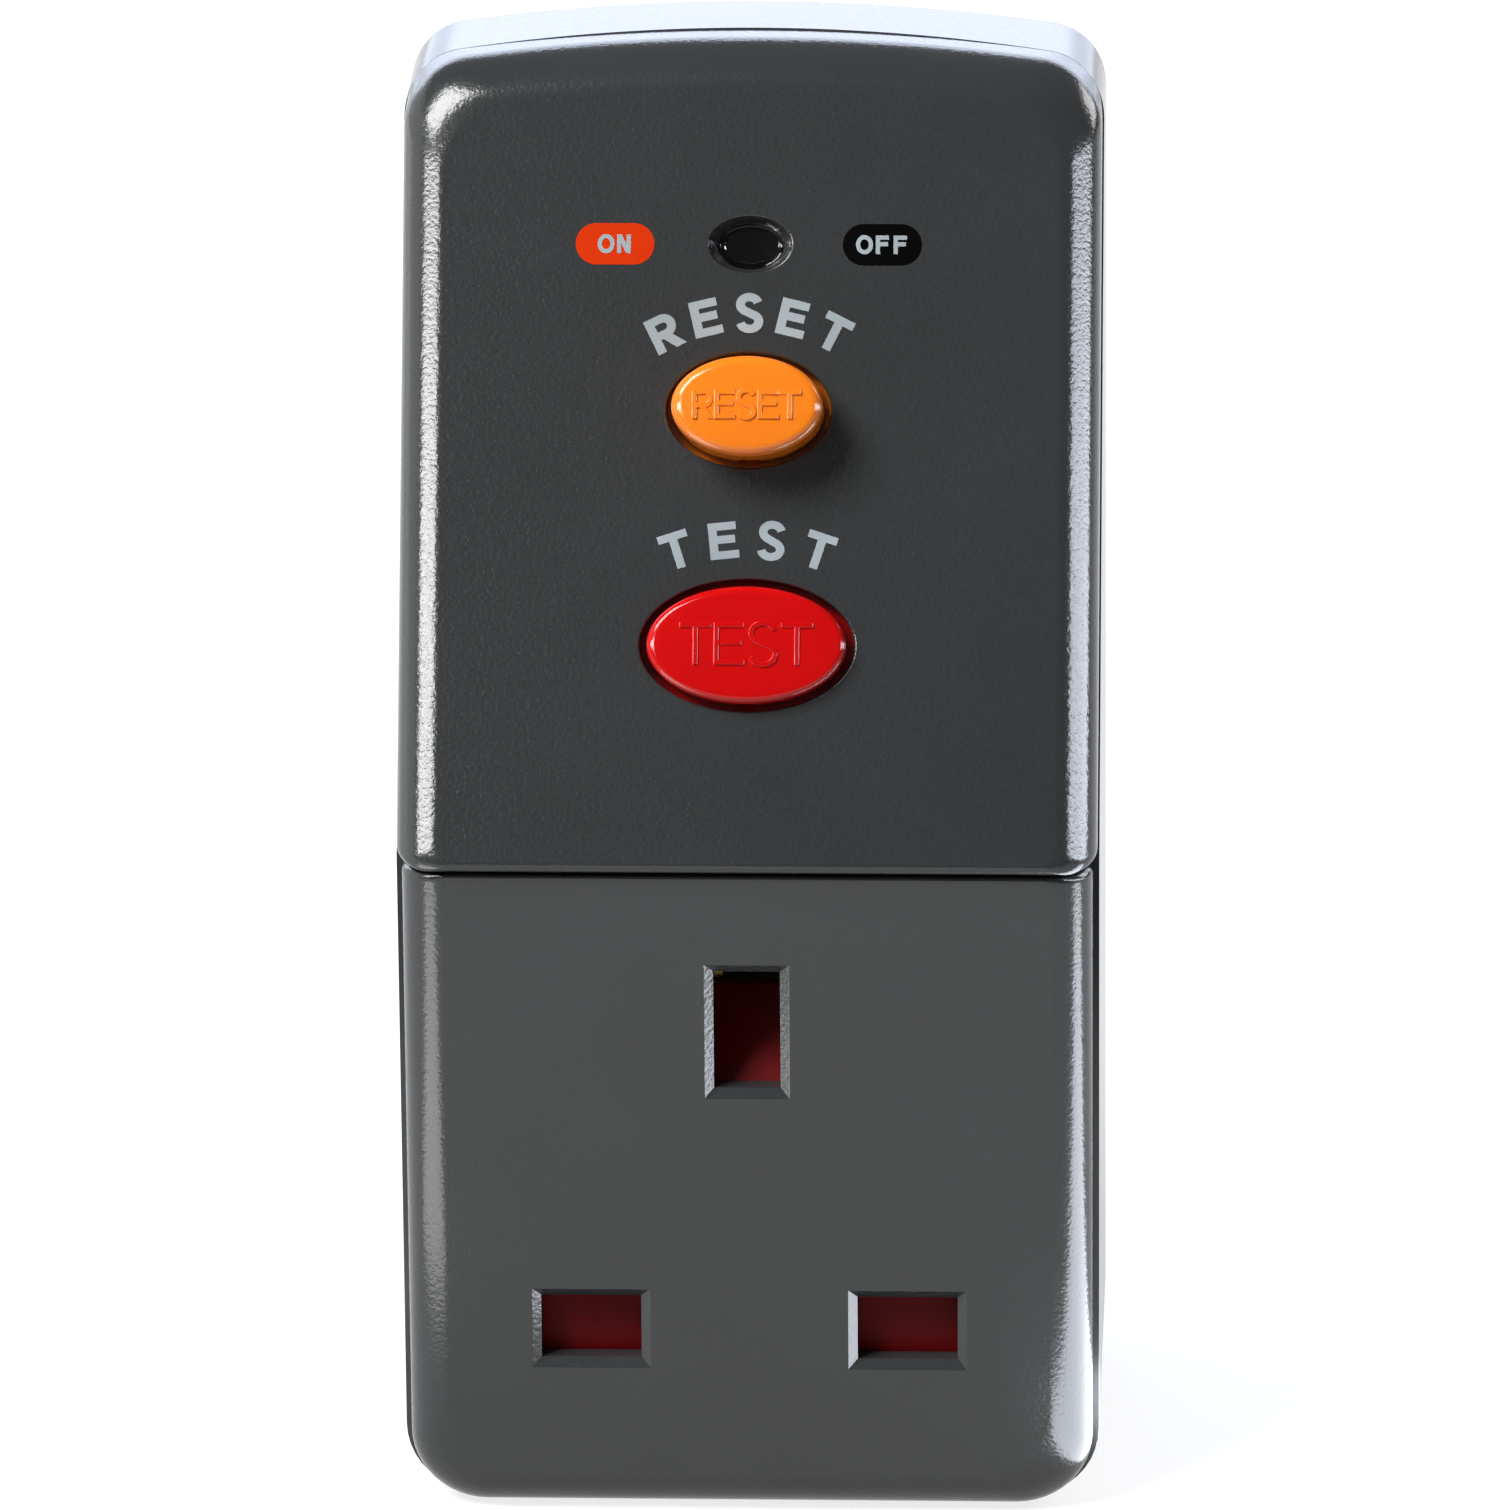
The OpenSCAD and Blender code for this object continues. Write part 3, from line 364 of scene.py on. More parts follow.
def new_material(name):
    """A node material with its Principled shader and object coordinates."""
    material = bpy.data.materials.new(name)
    material.use_nodes = True
    tree = material.node_tree
    shader = tree.nodes["Principled BSDF"]
    place = tree.nodes.new("ShaderNodeTexCoord").outputs["Object"]
    return material, tree, shader, place


def noise(tree, place, size, detail, stretch=None):
    """A noise pattern whose features are about size across."""
    if stretch:
        mapping = tree.nodes.new("ShaderNodeMapping")
        mapping.inputs["Scale"].default_value = stretch
        tree.links.new(place, mapping.inputs["Vector"])
        place = mapping.outputs["Vector"]
    node = tree.nodes.new("ShaderNodeTexNoise")
    node.inputs["Scale"].default_value = 1.0 / size
    node.inputs["Detail"].default_value = detail
    tree.links.new(place, node.inputs["Vector"])
    return node.outputs["Fac"]


def varied(tree, source, colour, vary):
    """A colour that gets darker and lighter with a pattern."""
    node = tree.nodes.new("ShaderNodeValToRGB")
    low, high = node.color_ramp.elements
    low.position, high.position = NOISE_LOW, NOISE_HIGH
    low.color = (*shade(colour, 1 - vary), 1)
    high.color = (*shade(colour, 1 + vary), 1)
    tree.links.new(source, node.inputs["Fac"])
    return node.outputs["Color"]


def spread(tree, source, low, high):
    """A value between low and high that follows a pattern."""
    node = tree.nodes.new("ShaderNodeMapRange")
    node.inputs["From Min"].default_value = NOISE_LOW
    node.inputs["From Max"].default_value = NOISE_HIGH
    node.inputs["To Min"].default_value = low
    node.inputs["To Max"].default_value = high
    tree.links.new(source, node.inputs["Value"])
    return node.outputs["Result"]


def bump(tree, shader, height, distance, strength):
    """Fine relief on a shader from a pattern."""
    node = tree.nodes.new("ShaderNodeBump")
    node.inputs["Strength"].default_value = strength
    node.inputs["Distance"].default_value = distance
    tree.links.new(height, node.inputs["Height"])
    tree.links.new(node.outputs["Normal"], shader.inputs["Normal"])


def srgb(r, g, b):
    """Linear colour of an 8-bit one."""
    return tuple(
        c / 255 / 12.92 if c <= 10 else ((c / 255 + 0.055) / 1.055) ** 2.4 for c in (r, g, b)
    )


def shade(colour, factor):
    """A lighter or darker colour."""
    return tuple(min(1.0, c * factor) for c in colour)


def plastic(name, colour, roughness, grain, depth, vary=0.12, specular=0.5, detail=3.0):
    """Moulded plastic: colour drift, grain in the gloss and a fine texture."""
    material, tree, shader, place = new_material(name)
    drift = noise(tree, place, DRIFT_SIZE, 3.0)
    tree.links.new(varied(tree, drift, colour, vary), shader.inputs["Base Color"])
    fine = noise(tree, place, grain, detail)
    gloss = spread(tree, fine, roughness * 0.88, roughness * 1.12)
    tree.links.new(gloss, shader.inputs["Roughness"])
    shader.inputs["Specular IOR Level"].default_value = specular
    bump(tree, shader, fine, depth, strength=0.5)
    return material


def smoked(name, colour, roughness):
    """Clear plastic with a smoky tint, through which the flag shows."""
    material = plastic(name, colour, roughness, 0.6 * MM, 0.001 * MM, 0.1)
    shader = material.node_tree.nodes["Principled BSDF"]
    shader.inputs["Transmission Weight"].default_value = 1.0
    shader.inputs["IOR"].default_value = 1.49
    return material


def metal(name, colour, roughness, stretch=None, vary=0.1):
    """Brushed or drawn metal."""
    material, tree, shader, place = new_material(name)
    streak = noise(tree, place, STREAK_SIZE, 3.0, stretch)
    tree.links.new(varied(tree, streak, colour, vary), shader.inputs["Base Color"])
    gloss = spread(tree, streak, roughness * 0.8, roughness * 1.2)
    tree.links.new(gloss, shader.inputs["Roughness"])
    shader.inputs["Metallic"].default_value = 1.0
    bump(tree, shader, streak, 0.01 * MM, strength=0.3)
    return material


# Metals: slot, colour, roughness, and for some the stretch of the streaks
# and how much the colour varies
METALS = (
    ("screw_steel", srgb(190, 190, 186), 0.28),
    ("pin_brass", srgb(214, 180, 106), 0.26, (1, 0.08, 1)),
    ("contact_brass", srgb(208, 172, 98), 0.3, (1, 0.1, 1)),
    ("strip_copper", srgb(202, 128, 84), 0.32, (1, 1, 0.1)),
    ("spring_steel", srgb(196, 196, 198), 0.25),
    ("latch_steel", srgb(170, 172, 175), 0.3, (1, 1, 0.1)),
    ("winding_copper", srgb(186, 104, 60), 0.3, (0.15, 3, 0.15), 0.25),
)

# Plastics: slot, colour, roughness, size and depth of the grain, and for some
# how much the colour varies, the specular level and the grain's detail
PLASTICS = (
    ("shell_grey", srgb(51, 53, 54), 0.19, 0.28 * MM, 0.036 * MM, 0.05, 0.5, 1.0),
    ("sleeve_black", srgb(24, 24, 25), 0.4, 0.2 * MM, 0.01 * MM),
    ("carrier_ivory", srgb(205, 201, 186), 0.45, 0.3 * MM, 0.02 * MM),
    ("wire_brown", srgb(98, 58, 34), 0.42, 0.4 * MM, 0.01 * MM),
    ("wire_blue", srgb(44, 84, 168), 0.42, 0.4 * MM, 0.01 * MM),
    ("shutter_red", srgb(108, 8, 13), 0.42, 0.4 * MM, 0.008 * MM, 0.1, 0.08),
    ("reset_orange", srgb(252, 132, 28), 0.14, 0.5 * MM, 0.003 * MM, 0.05, 0.4),
    ("test_red", srgb(204, 8, 9), 0.12, 0.5 * MM, 0.003 * MM, 0.05, 0.32),
    ("flag_black", srgb(6, 6, 7), 0.4, 0.3 * MM, 0.01 * MM, 0.12, 0.1),
    ("flag_orange", srgb(240, 100, 20), 0.4, 0.3 * MM, 0.01 * MM),
    ("core_grey", srgb(70, 84, 78), 0.5, 0.2 * MM, 0.02 * MM),
    ("board_green", srgb(28, 92, 52), 0.35, 0.5 * MM, 0.01 * MM),
    ("chip_black", srgb(26, 26, 28), 0.5, 0.15 * MM, 0.01 * MM),
    ("varistor_blue", srgb(46, 76, 150), 0.35, 0.5 * MM, 0.02 * MM),
    ("capacitor_yellow", srgb(206, 164, 44), 0.35, 0.5 * MM, 0.01 * MM),
    ("resistor_tan", srgb(190, 160, 120), 0.45, 0.4 * MM, 0.01 * MM),
)

LOOKS = {row[0]: metal(*row) for row in METALS}
LOOKS.update((row[0], plastic(*row)) for row in PLASTICS)
LOOKS["lens_smoke"] = smoked("lens_smoke", srgb(216, 214, 212), 0.04)

# The shell's smoother sides, and the inks of the print
TUB = plastic("tub_grey", srgb(51, 53, 54), 0.19, 0.4 * MM, 0.004 * MM, 0.05)
PRINT_GREY = plastic("print_grey", srgb(162, 172, 177), 0.5, 0.12 * MM, 0.01 * MM, 0.16, 0.08)
PRINT_ORANGE = plastic("print_orange", srgb(214, 54, 12), 0.2, 0.12 * MM, 0.004 * MM, 0.06, 0.06)
PRINT_BLACK = plastic("print_black", srgb(8, 8, 9), 0.2, 0.12 * MM, 0.004 * MM, 0.1, 0.05)


# Case

def hole_rings(w, h, place, ease=0.2 * MM):
    """Cutter for an elliptical hole in the panel, with an eased front edge."""
    depths = edge_depths(ease, 5)
    rings = [lift(ellipse(w + 2 * ease, h + 2 * ease), PAST, place)]
    for d in depths:
        grow = 2 * edge_inset(ease, d)
        rings.append(lift(ellipse(w + grow, h + grow), -d, place))
    rings.append(lift(ellipse(w, h), -LID_DEPTH, place))
    return rings


def on_panel(v):
    """Place on the panel, at a height up the slope."""
    return PANEL_FRAME @ Matrix.Translation((0, v, 0))


def make_control_cover():
    """The leaning upper front, with its bosses, button holes and window recess."""
    rings = []
    for d in edge_depths(EDGE_R, EDGE_STEPS) + [LID_DEPTH]:
        corner = PANEL_CORNER_R if d < LID_DEPTH else CORNER_R
        rings.append(lift(crowned(
            LID_HW - edge_inset(EDGE_R, d),
            level_v(LIP_Z, d) + edge_inset(LIP_R, d),
            level_v(TOP_Z - LID_STEP, d) - edge_inset(EDGE_R, d),
            LIP_CORNER_R, corner,
        ), -d, PANEL_FRAME))
    for d in (LID_DEPTH, WALL):
        rings.append(lift(crowned(
            LID_HW - WALL, level_v(LIP_Z + LIP_WALL, d), level_v(TOP_Z - LID_STEP - WALL, d),
            LIP_CORNER_R_IN, CORNER_R,
        ), -d, PANEL_FRAME))
    cover = mesh_object("control_cover_shell", rings)
    bosses = []
    for x, z, y in SCREW_SPOTS[1:]:
        inner = PANEL_Y + (z - SEAM_Z) * TAN + WALL
        for side in (-1, 1):
            bosses.append(round_post(side * x, z, (
                (COVER_BOSS_R, inner - BOSS_ROOT), (COVER_BOSS_R, y),
                (PILOT_R, y), (PILOT_R, inner + 2 * PAST),
            )))
    combine(cover, mesh_object("bosses", *bosses), "UNION")
    holes = [
        hole_rings(RESET_W + 2 * BUTTON_GAP, RESET_H + 2 * BUTTON_GAP, on_panel(RESET_V)),
        hole_rings(TEST_W + 2 * BUTTON_GAP, TEST_H + 2 * BUTTON_GAP, on_panel(TEST_V)),
    ]
    combine(cover, mesh_object("button_holes", *holes), "DIFFERENCE")
    combine(cover, mesh_object("window_hole", window_rings()), "DIFFERENCE")
    soften(cover)
    dress(cover, LOOKS["shell_grey"], "housing", "shell_grey", "control_cover")


def window_rings():
    """Cutter for the dished recess of the window and the hole in its floor."""
    place = on_panel(WINDOW_V)
    ease = 0.3 * MM
    rings = [lift(ellipse(WINDOW_W + ease, WINDOW_H + ease), PAST, place)]
    # How far the recess grows on each side, and its depth, in mm. It grows less up the panel.
    profile = ((0.15, 0.0), (0.05, 0.04), (0.0, 0.12), (-0.52, 1.32), (-0.56, 1.38), (-0.6, 1.5))
    share_up = 0.6
    for grow, d in profile:
        w, h = WINDOW_W + 2 * grow * MM, WINDOW_H + 2 * share_up * grow * MM
        rings.append(lift(ellipse(w, h), -d * MM, place))
    rings.append(lift(ellipse(w, h), -LID_DEPTH, place))
    return rings


def aperture_rings(x, z, w, h):
    """Cutter for a rectangular aperture with a mitred bevel and an eased outer edge."""
    place = SOCKET_FRAME @ Matrix.Translation((x, z, 0))
    hw, hh = w / 2 + APERTURE_GAP, h / 2 + APERTURE_GAP
    ease = BEVEL_EASE
    profile = (
        (BEVEL_W + ease, PAST), (BEVEL_W + ease, 0.0), (BEVEL_W + 0.3 * ease, -0.3 * ease),
        (BEVEL_W - 0.5 * ease, -ease), (0.0, -BEVEL_D), (0.0, -FACE_T - PAST),
    )
    return [lift(rectangle(hw + g, hh + g), height, place) for g, height in profile]


def tongue_rings():
    """The two tongues that hook the socket cover behind the control cover."""
    half_width = 2 * MM
    root, step, back = RIM_Y - 1.7 * MM, RIM_Y + 1.3 * MM, RIM_Y + 2.9 * MM
    shelf, tip = SEAM_Z - 0.05 * MM, SEAM_Z + 2.3 * MM
    outline = (
        (root, ROOF_Z), (back, ROOF_Z), (back, tip), (step, tip), (step, shelf), (root, shelf),
    )
    tongues = []
    for side in (-1, 1):
        ends = sorted((side * (SCREW_X - half_width), side * (SCREW_X + half_width)))
        tongues.append([[(x, y, z) for y, z in outline] for x in ends])
    return tongues


def make_socket_cover():
    """The lower front, with its bosses, tongues and apertures."""
    depth = RIM_Y - FACE_Y
    rings = []
    low_z = BOTTOM_Z + LID_STEP
    for d in edge_depths(EDGE_R, EDGE_STEPS) + [depth]:
        inset = edge_inset(EDGE_R, d)
        high_z = SEAM_Z - edge_inset(SOFT_R, d)
        rings.append(lift(boxed(
            SOCKET_HW - inset, low_z + inset, high_z, FOOT_R, SOCKET_TOP_R,
        ), -d, SOCKET_FRAME))
    for d in (depth, FACE_T):
        rings.append(lift(boxed(
            SOCKET_HW - WALL, low_z + WALL, ROOF_Z, FOOT_R - WALL, SOCKET_TOP_R,
        ), -d, SOCKET_FRAME))
    cover = mesh_object("socket_cover_shell", rings)
    x, z, y = SCREW_SPOTS[0]
    inner = FACE_Y + FACE_T
    bosses = [round_post(side * x, z, (
        (SOCKET_BOSS_R, inner - BOSS_ROOT), (SOCKET_BOSS_R, y),
        (PILOT_R, y), (PILOT_R, inner + PAST),
    )) for side in (-1, 1)]
    combine(cover, mesh_object("bosses", *bosses), "UNION")
    combine(cover, mesh_object("tongues", *tongue_rings()), "UNION")
    apertures = [aperture_rings(side * PIN_X, 0, PIN_W, PIN_T) for side in (-1, 1)]
    apertures.append(aperture_rings(0, EARTH_Z, PIN_T, EARTH_W))
    combine(cover, mesh_object("apertures", *apertures), "DIFFERENCE")
    soften(cover)
    dress(cover, LOOKS["shell_grey"], "housing", "shell_grey", "socket_cover")


def rim_y(z):
    """Where the rear shell ends, at a height."""
    return RIM_Y + RIM_GAP + max(0.0, z - SEAM_Z) * TAN


def shell_ring(inset, y):
    """The rear shell's outline drawn in by an inset, at a y or along a rule for y."""
    outline = crowned(
        BODY_HW - inset, BOTTOM_Z + inset, TOP_Z - inset,
        FOOT_R - inset, CORNER_R - inset, (SEAM_Z,),
    )
    return [(x, y(z) if callable(y) else y, z) for x, z in outline]


def make_rear_shell():
    """The tub, with its floor, bosses, screw bores and pin slots."""
    soft = RIM_SOFT
    rings = [shell_ring(edge_inset(REAR_R, d), -d) for d in edge_depths(REAR_R, 10)]
    rings.append(shell_ring(0.0, lambda z: rim_y(z) + soft))
    rings.append(shell_ring(0.3 * soft, lambda z: rim_y(z) + 0.3 * soft))
    rings.append(shell_ring(soft, rim_y))
    rings.append(shell_ring(WALL, rim_y))
    rings.append(shell_ring(WALL, -WALL))
    shell = mesh_object("rear_shell_tub", rings)
    floor = mesh_object("floor", box_rings(
        (-FLOOR_HW, -BASE_WALL, BOTTOM_Z + FLOOR_INSET),
        (FLOOR_HW, -PAST, EARTH_Z + FLOOR_PAST_EARTH),
    ))
    combine(shell, floor, "UNION")
    bosses = []
    bores = []
    for x, z, y in SCREW_SPOTS:
        for side in (-1, 1):
            bosses.append(round_post(side * x, z, (
                (SHELL_BOSS_R, y), (SHELL_BOSS_R, SEAT_Y), (SEAT_R, SEAT_Y), (SEAT_R, -PAST),
            )))
            bores.append(round_post(side * x, z, (
                (SHELL_BORE_R, y - PAST), (SHELL_BORE_R, HEAD_Y), (HEAD_R, HEAD_Y),
                (HEAD_R, -HEAD_EASE), (HEAD_R + HEAD_EASE, 0.0), (HEAD_R + HEAD_EASE, PAST),
            )))
    combine(shell, mesh_object("bosses", *bosses), "UNION")
    combine(shell, mesh_object("bores", *bores), "DIFFERENCE")
    slots = []
    for x, z, w, h in (
        (-PIN_X, 0, PIN_W, PIN_T), (PIN_X, 0, PIN_W, PIN_T), (0, EARTH_Z, PIN_T, EARTH_W),
    ):
        hw, hh = w / 2 + PIN_PLAY, h / 2 + PIN_PLAY
        slots.append(box_rings((x - hw, FLANGE_Y, z - hh), (x + hw, PAST, z + hh)))
    combine(shell, mesh_object("slots", *slots), "DIFFERENCE")
    soften(shell)
    dress(shell, TUB, "housing", "shell_grey", "rear_shell")


# Controls

def button_rings(w, h, proud, crown, edge, stem, place):
    """Rings of a button: domed cap, rounded edge, skirt, flange and stem in one skin."""
    rings = []
    steps = 10
    for i in range(1, steps + 1):
        share = i / steps
        outline = ellipse(share * (w - 2 * edge), share * (h - 2 * edge))
        rings.append(lift(outline, proud - crown * share * share, place))
    for d in edge_depths(edge, steps)[1:]:
        inset = 2 * edge_inset(edge, d)
        rings.append(lift(ellipse(w - inset, h - inset), proud - crown - d, place))
    lip, top = FLANGE_LIP, -FLANGE_D
    for grow, height in ((0, top), (lip, top), (lip, top - FLANGE_T)):
        rings.append(lift(ellipse(w + grow, h + grow), height, place))
    for r, d in stem:
        rings.append(lift(ellipse(2 * r, 2 * r), -d, place))
    return rings


def notch_rings(h, place):
    """Cutter for the small notch at the foot of a button's skirt."""
    hw, outer, inner = 0.7 * MM, -h / 2 - 0.4 * MM, -h / 2 + 0.5 * MM
    front, back = 0.4 * MM, -FLANGE_D + 0.01 * MM
    outline = [(-hw, outer), (hw, outer), (hw, inner), (-hw, inner)]
    return [lift(outline, height, place) for height in (front, back)]


def make_reset_button():
    """The reset button, with the latch's groove in its stem."""
    place = on_panel(RESET_V)
    groove_end = LATCH_BACK + 0.2 * MM
    stem = (
        (STEM_R, FLANGE_D + FLANGE_T), (STEM_R, CARRIAGE_D), (NECK_R, CARRIAGE_D),
        (NECK_R, groove_end), (STEM_R, groove_end), (STEM_R, LATCH_BACK + 0.9 * MM),
    )
    button = mesh_object("reset_button_cap", button_rings(
        RESET_W, RESET_H, RESET_PROUD, RESET_CROWN, RESET_EDGE, stem, place))
    combine(button, mesh_object("notch", notch_rings(RESET_H, place)), "DIFFERENCE")
    soften(button)
    dress(button, LOOKS["reset_orange"], "reset_button", "reset_orange", "reset_button")


def make_test_button():
    """The test button, with the two legs that carry its bridge."""
    place = on_panel(TEST_V)
    stem = ((STEM_R, FLANGE_D + FLANGE_T), (STEM_R, FRAME_BACK + 0.4 * MM))
    button = mesh_object("test_button_cap", button_rings(
        TEST_W, TEST_H, TEST_PROUD, TEST_CROWN, TEST_EDGE, stem, place))
    near, far, low, high = 3.4 * MM, 4.6 * MM, -4.3 * MM, -3 * MM
    depths = (FLANGE_D + 0.8 * MM, FLANGE_D + 3.1 * MM)
    legs = []
    for side in (-1, 1):
        a, b = sorted((side * near, side * far))
        outline = [(a, low), (b, low), (b, high), (a, high)]
        legs.append([lift(outline, -d, place) for d in depths])
    combine(button, mesh_object("legs", *legs), "UNION")
    combine(button, mesh_object("notch", notch_rings(TEST_H, place)), "DIFFERENCE")
    soften(button)
    dress(button, LOOKS["test_red"], "test_button", "test_red", "test_button")


def make_lens():
    """The clear window over the flag."""
    place = on_panel(WINDOW_V)
    w, h = WINDOW_W - 1.4 * MM, WINDOW_H - 0.9 * MM
    front, crown, edge = 1.3 * MM, 0.06 * MM, 0.5 * MM
    steps = 6
    rings = []
    for i in range(1, steps + 1):
        share = i / steps
        outline = ellipse(share * (w - 2 * edge), share * (h - 2 * edge))
        rings.append(lift(outline, -front - crown * share * share, place))
    for d in edge_depths(edge, 10)[1:]:
        inset = 2 * edge_inset(edge, d)
        rings.append(lift(ellipse(w - inset, h - inset), -front - crown - d, place))
    rings.append(lift(ellipse(w, h), -WALL, place))
    for d in (WALL, WALL + LENS_FLANGE_T):
        rings.append(lift(ellipse(LENS_FLANGE_W, LENS_FLANGE_H), -d, place))
    lens = mesh_object("window_lens_dome", rings)
    soften(lens)
    dress(lens, LOOKS["lens_smoke"], "housing", "lens_smoke", "window_lens")


# Lettering

def stroke(points, width):
    """Outline of a stroke along a line of points."""
    left, right = [], []
    for i, point in enumerate(points):
        before, after = points[max(i - 1, 0)], points[min(i + 1, len(points) - 1)]
        side = (Vector(after) - Vector(before)).normalized().orthogonal() * width / 2
        left.append(tuple(Vector(point) + side))
        right.append(tuple(Vector(point) - side))
    return left + right[::-1]


def capital(character, w):
    """Outlines of a plain capital E, F, N, O, R, S or T of height 1, and its width.

    Its strokes are w wide.
    """
    shoulder = 1 - w
    post = [(0, 0), (w, 0), (w, 1), (0, 1)]
    low = 0.5 - w / 2 + 0.03
    arms = [
        (w, low), (0.66, low), (0.66, low + w), (w, low + w), (w, shoulder),
        (0.71, shoulder), (0.71, 1), (0, 1),
    ]
    if character == "E":
        return [[(0, 0), (0.73, 0), (0.73, w), (w, w)] + arms], 0.73
    if character == "F":
        return [[(0, 0), (w, 0)] + arms], 0.71
    if character == "T":
        across = 0.76
        a, b = across / 2 - w / 2, across / 2 + w / 2
        return [[
            (a, 0), (b, 0), (b, shoulder), (across, shoulder),
            (across, 1), (0, 1), (0, shoulder), (a, shoulder),
        ]], across
    if character == "N":
        across = 0.74
        far_post = [(across - w, 0), (across, 0), (across, 1), (across - w, 1)]
        slant = [(across - 1.1 * w, 0), (across, 0), (1.1 * w, 1), (0, 1)]
        return [post, far_post, slant], across
    if character == "O":
        middle = 0.46
        rx, ry = middle - w / 2, 0.52 - w / 2
        halves = [bend(middle, 0.5, rx, ry, a, a + 190) for a in (-5, 175)]
        return [stroke(half, w) for half in halves], 2 * middle
    if character == "R":
        waist, high = 0.46, 1 - w / 2
        r = (high - waist) / 2
        bowl = [(w / 2, high)] + bend(0.42, waist + r, r, r, 90, -90) + [(w / 2, waist)]
        leg = [
            (0.64 - 0.6 * w, 0), (0.64 + 0.65 * w, 0),
            (0.36 + 0.6 * w, waist), (0.36 - 0.6 * w, waist),
        ]
        return [post, stroke(bowl, w), leg], 0.77
    ry = 0.26 - w / 4
    line = bend(0.355, 0.74 - w / 4 + 0.05, 0.34 - w / 2, ry, 15, 250)
    line += bend(0.36, 0.26 + w / 4 - 0.05, 0.35 - w / 2, ry, 70, -167)
    return [stroke(line, w)], 0.72


def letter_mesh(character, height, width, thickness):
    """A letter as a mesh, centred on its own middle."""
    outlines, across = capital(character, width / height)
    parts = []
    for outline in outlines:
        scaled = [(height * (x - across / 2), height * (y - 0.5)) for x, y in outline]
        parts.append([lift(scaled, z, Matrix()) for z in (-thickness / 2, thickness / 2)])
    letter = mesh_object("letter", parts[0])
    for rings in parts[1:]:
        combine(letter, mesh_object("stroke", rings), "UNION")
    mesh = letter.data
    bpy.data.objects.remove(letter)
    return mesh


def word(name, letters, height, width, thickness, place, stretch=1.0, rise=None):
    """Letters at their own places and tilts (x, v, degrees), as one object on the panel."""
    joined = bmesh.new()
    for character, x, v, tilt in letters:
        mesh = letter_mesh(character, height, width, thickness)
        spot = Matrix.Translation((x, v, rise(x) if rise else 0))
        turn = Matrix.Rotation(math.radians(tilt), 4, "Z")
        mesh.transform(place @ spot @ turn @ Matrix.Diagonal((stretch, 1, 1, 1)))
        joined.from_mesh(mesh)
        bpy.data.meshes.remove(mesh)
    return settled(name, joined)


def arched(text, radius, spread_angle, v):
    """Places of a word's letters on an arch whose middle letter stands at v."""
    places = []
    for i, character in enumerate(text):
        a = spread_angle * (0.5 - i / (len(text) - 1))
        x = -radius * math.sin(math.radians(a))
        places.append((character, x, v - radius * (1 - math.cos(math.radians(a))), a))
    return places


def straight(text, pitch):
    """Places of a word's letters on a line."""
    return [(c, pitch * (i - (len(text) - 1) / 2), 0, 0) for i, c in enumerate(text)]


def make_arched_print():
    """The words over the buttons."""
    height, stretch = 2.55 * MM, 1.08
    surface = PANEL_FRAME @ Matrix.Translation((0, 0, INK_T / 2))
    for name, letters, width in (
        ("reset_print", arched("RESET", 13.2 * MM, 53, 39.6 * MM), 0.58 * MM),
        ("test_print", arched("TEST", 16 * MM, 36, 23.8 * MM), 0.55 * MM),
    ):
        printed = word(name, letters, height, width, INK_T, surface, stretch)
        dress(printed, PRINT_GREY, "housing", "shell_grey")


def make_pills():
    """The two printed pills beside the window, each with its word."""
    r, half = 1.45 * MM, 2.75 * MM
    root = -0.05 * MM
    pitch, height, width = 1.24 * MM, 1.3 * MM, 0.3 * MM
    outline = arc(half - r, 0, r, -90, 90, 16) + arc(-half + r, 0, r, 90, 270, 16)
    for name, text, x, material in (
        ("on_pill", "ON", -9.4 * MM, PRINT_ORANGE), ("off_pill", "OFF", 9.2 * MM, PRINT_BLACK),
    ):
        place = PANEL_FRAME @ Matrix.Translation((x, WINDOW_V, 0))
        pill = mesh_object(name, [lift(outline, level, place) for level in (root, INK_T)])
        dress(pill, material, "housing", "shell_grey")
        above = place @ Matrix.Translation((0, 0, 1.5 * INK_T))
        letters = word(name + "_word", straight(text, pitch), height, width, INK_T, above)
        dress(letters, PRINT_GREY, "housing", "shell_grey")


def make_raised_words():
    """The words moulded on the buttons, which follow the caps' crowns."""
    width, thickness, ease = 0.36 * MM, 0.24 * MM, 0.06 * MM
    shift, sink = 0.05 * MM, 0.02 * MM
    for name, text, v, cap_w, proud, crown, pitch, height, slot, body in (
        ("reset_raised", "RESET", RESET_V, RESET_W - 2 * RESET_EDGE, RESET_PROUD, RESET_CROWN,
         1.5 * MM, 2.05 * MM, "reset_orange", "reset_button"),
        ("test_raised", "TEST", TEST_V, TEST_W - 2 * TEST_EDGE, TEST_PROUD, TEST_CROWN,
         2.35 * MM, 2.95 * MM, "test_red", "test_button"),
    ):
        place = on_panel(v) @ Matrix.Translation((0, shift, proud - sink))
        letters = word(
            name, straight(text, pitch), height, width, thickness, place,
            rise=lambda x, w=cap_w, c=crown: -c * (2 * x / w) ** 2,
        )
        dress(letters, LOOKS[slot], body, slot)
        ease_edges(letters, ease)


# Springs

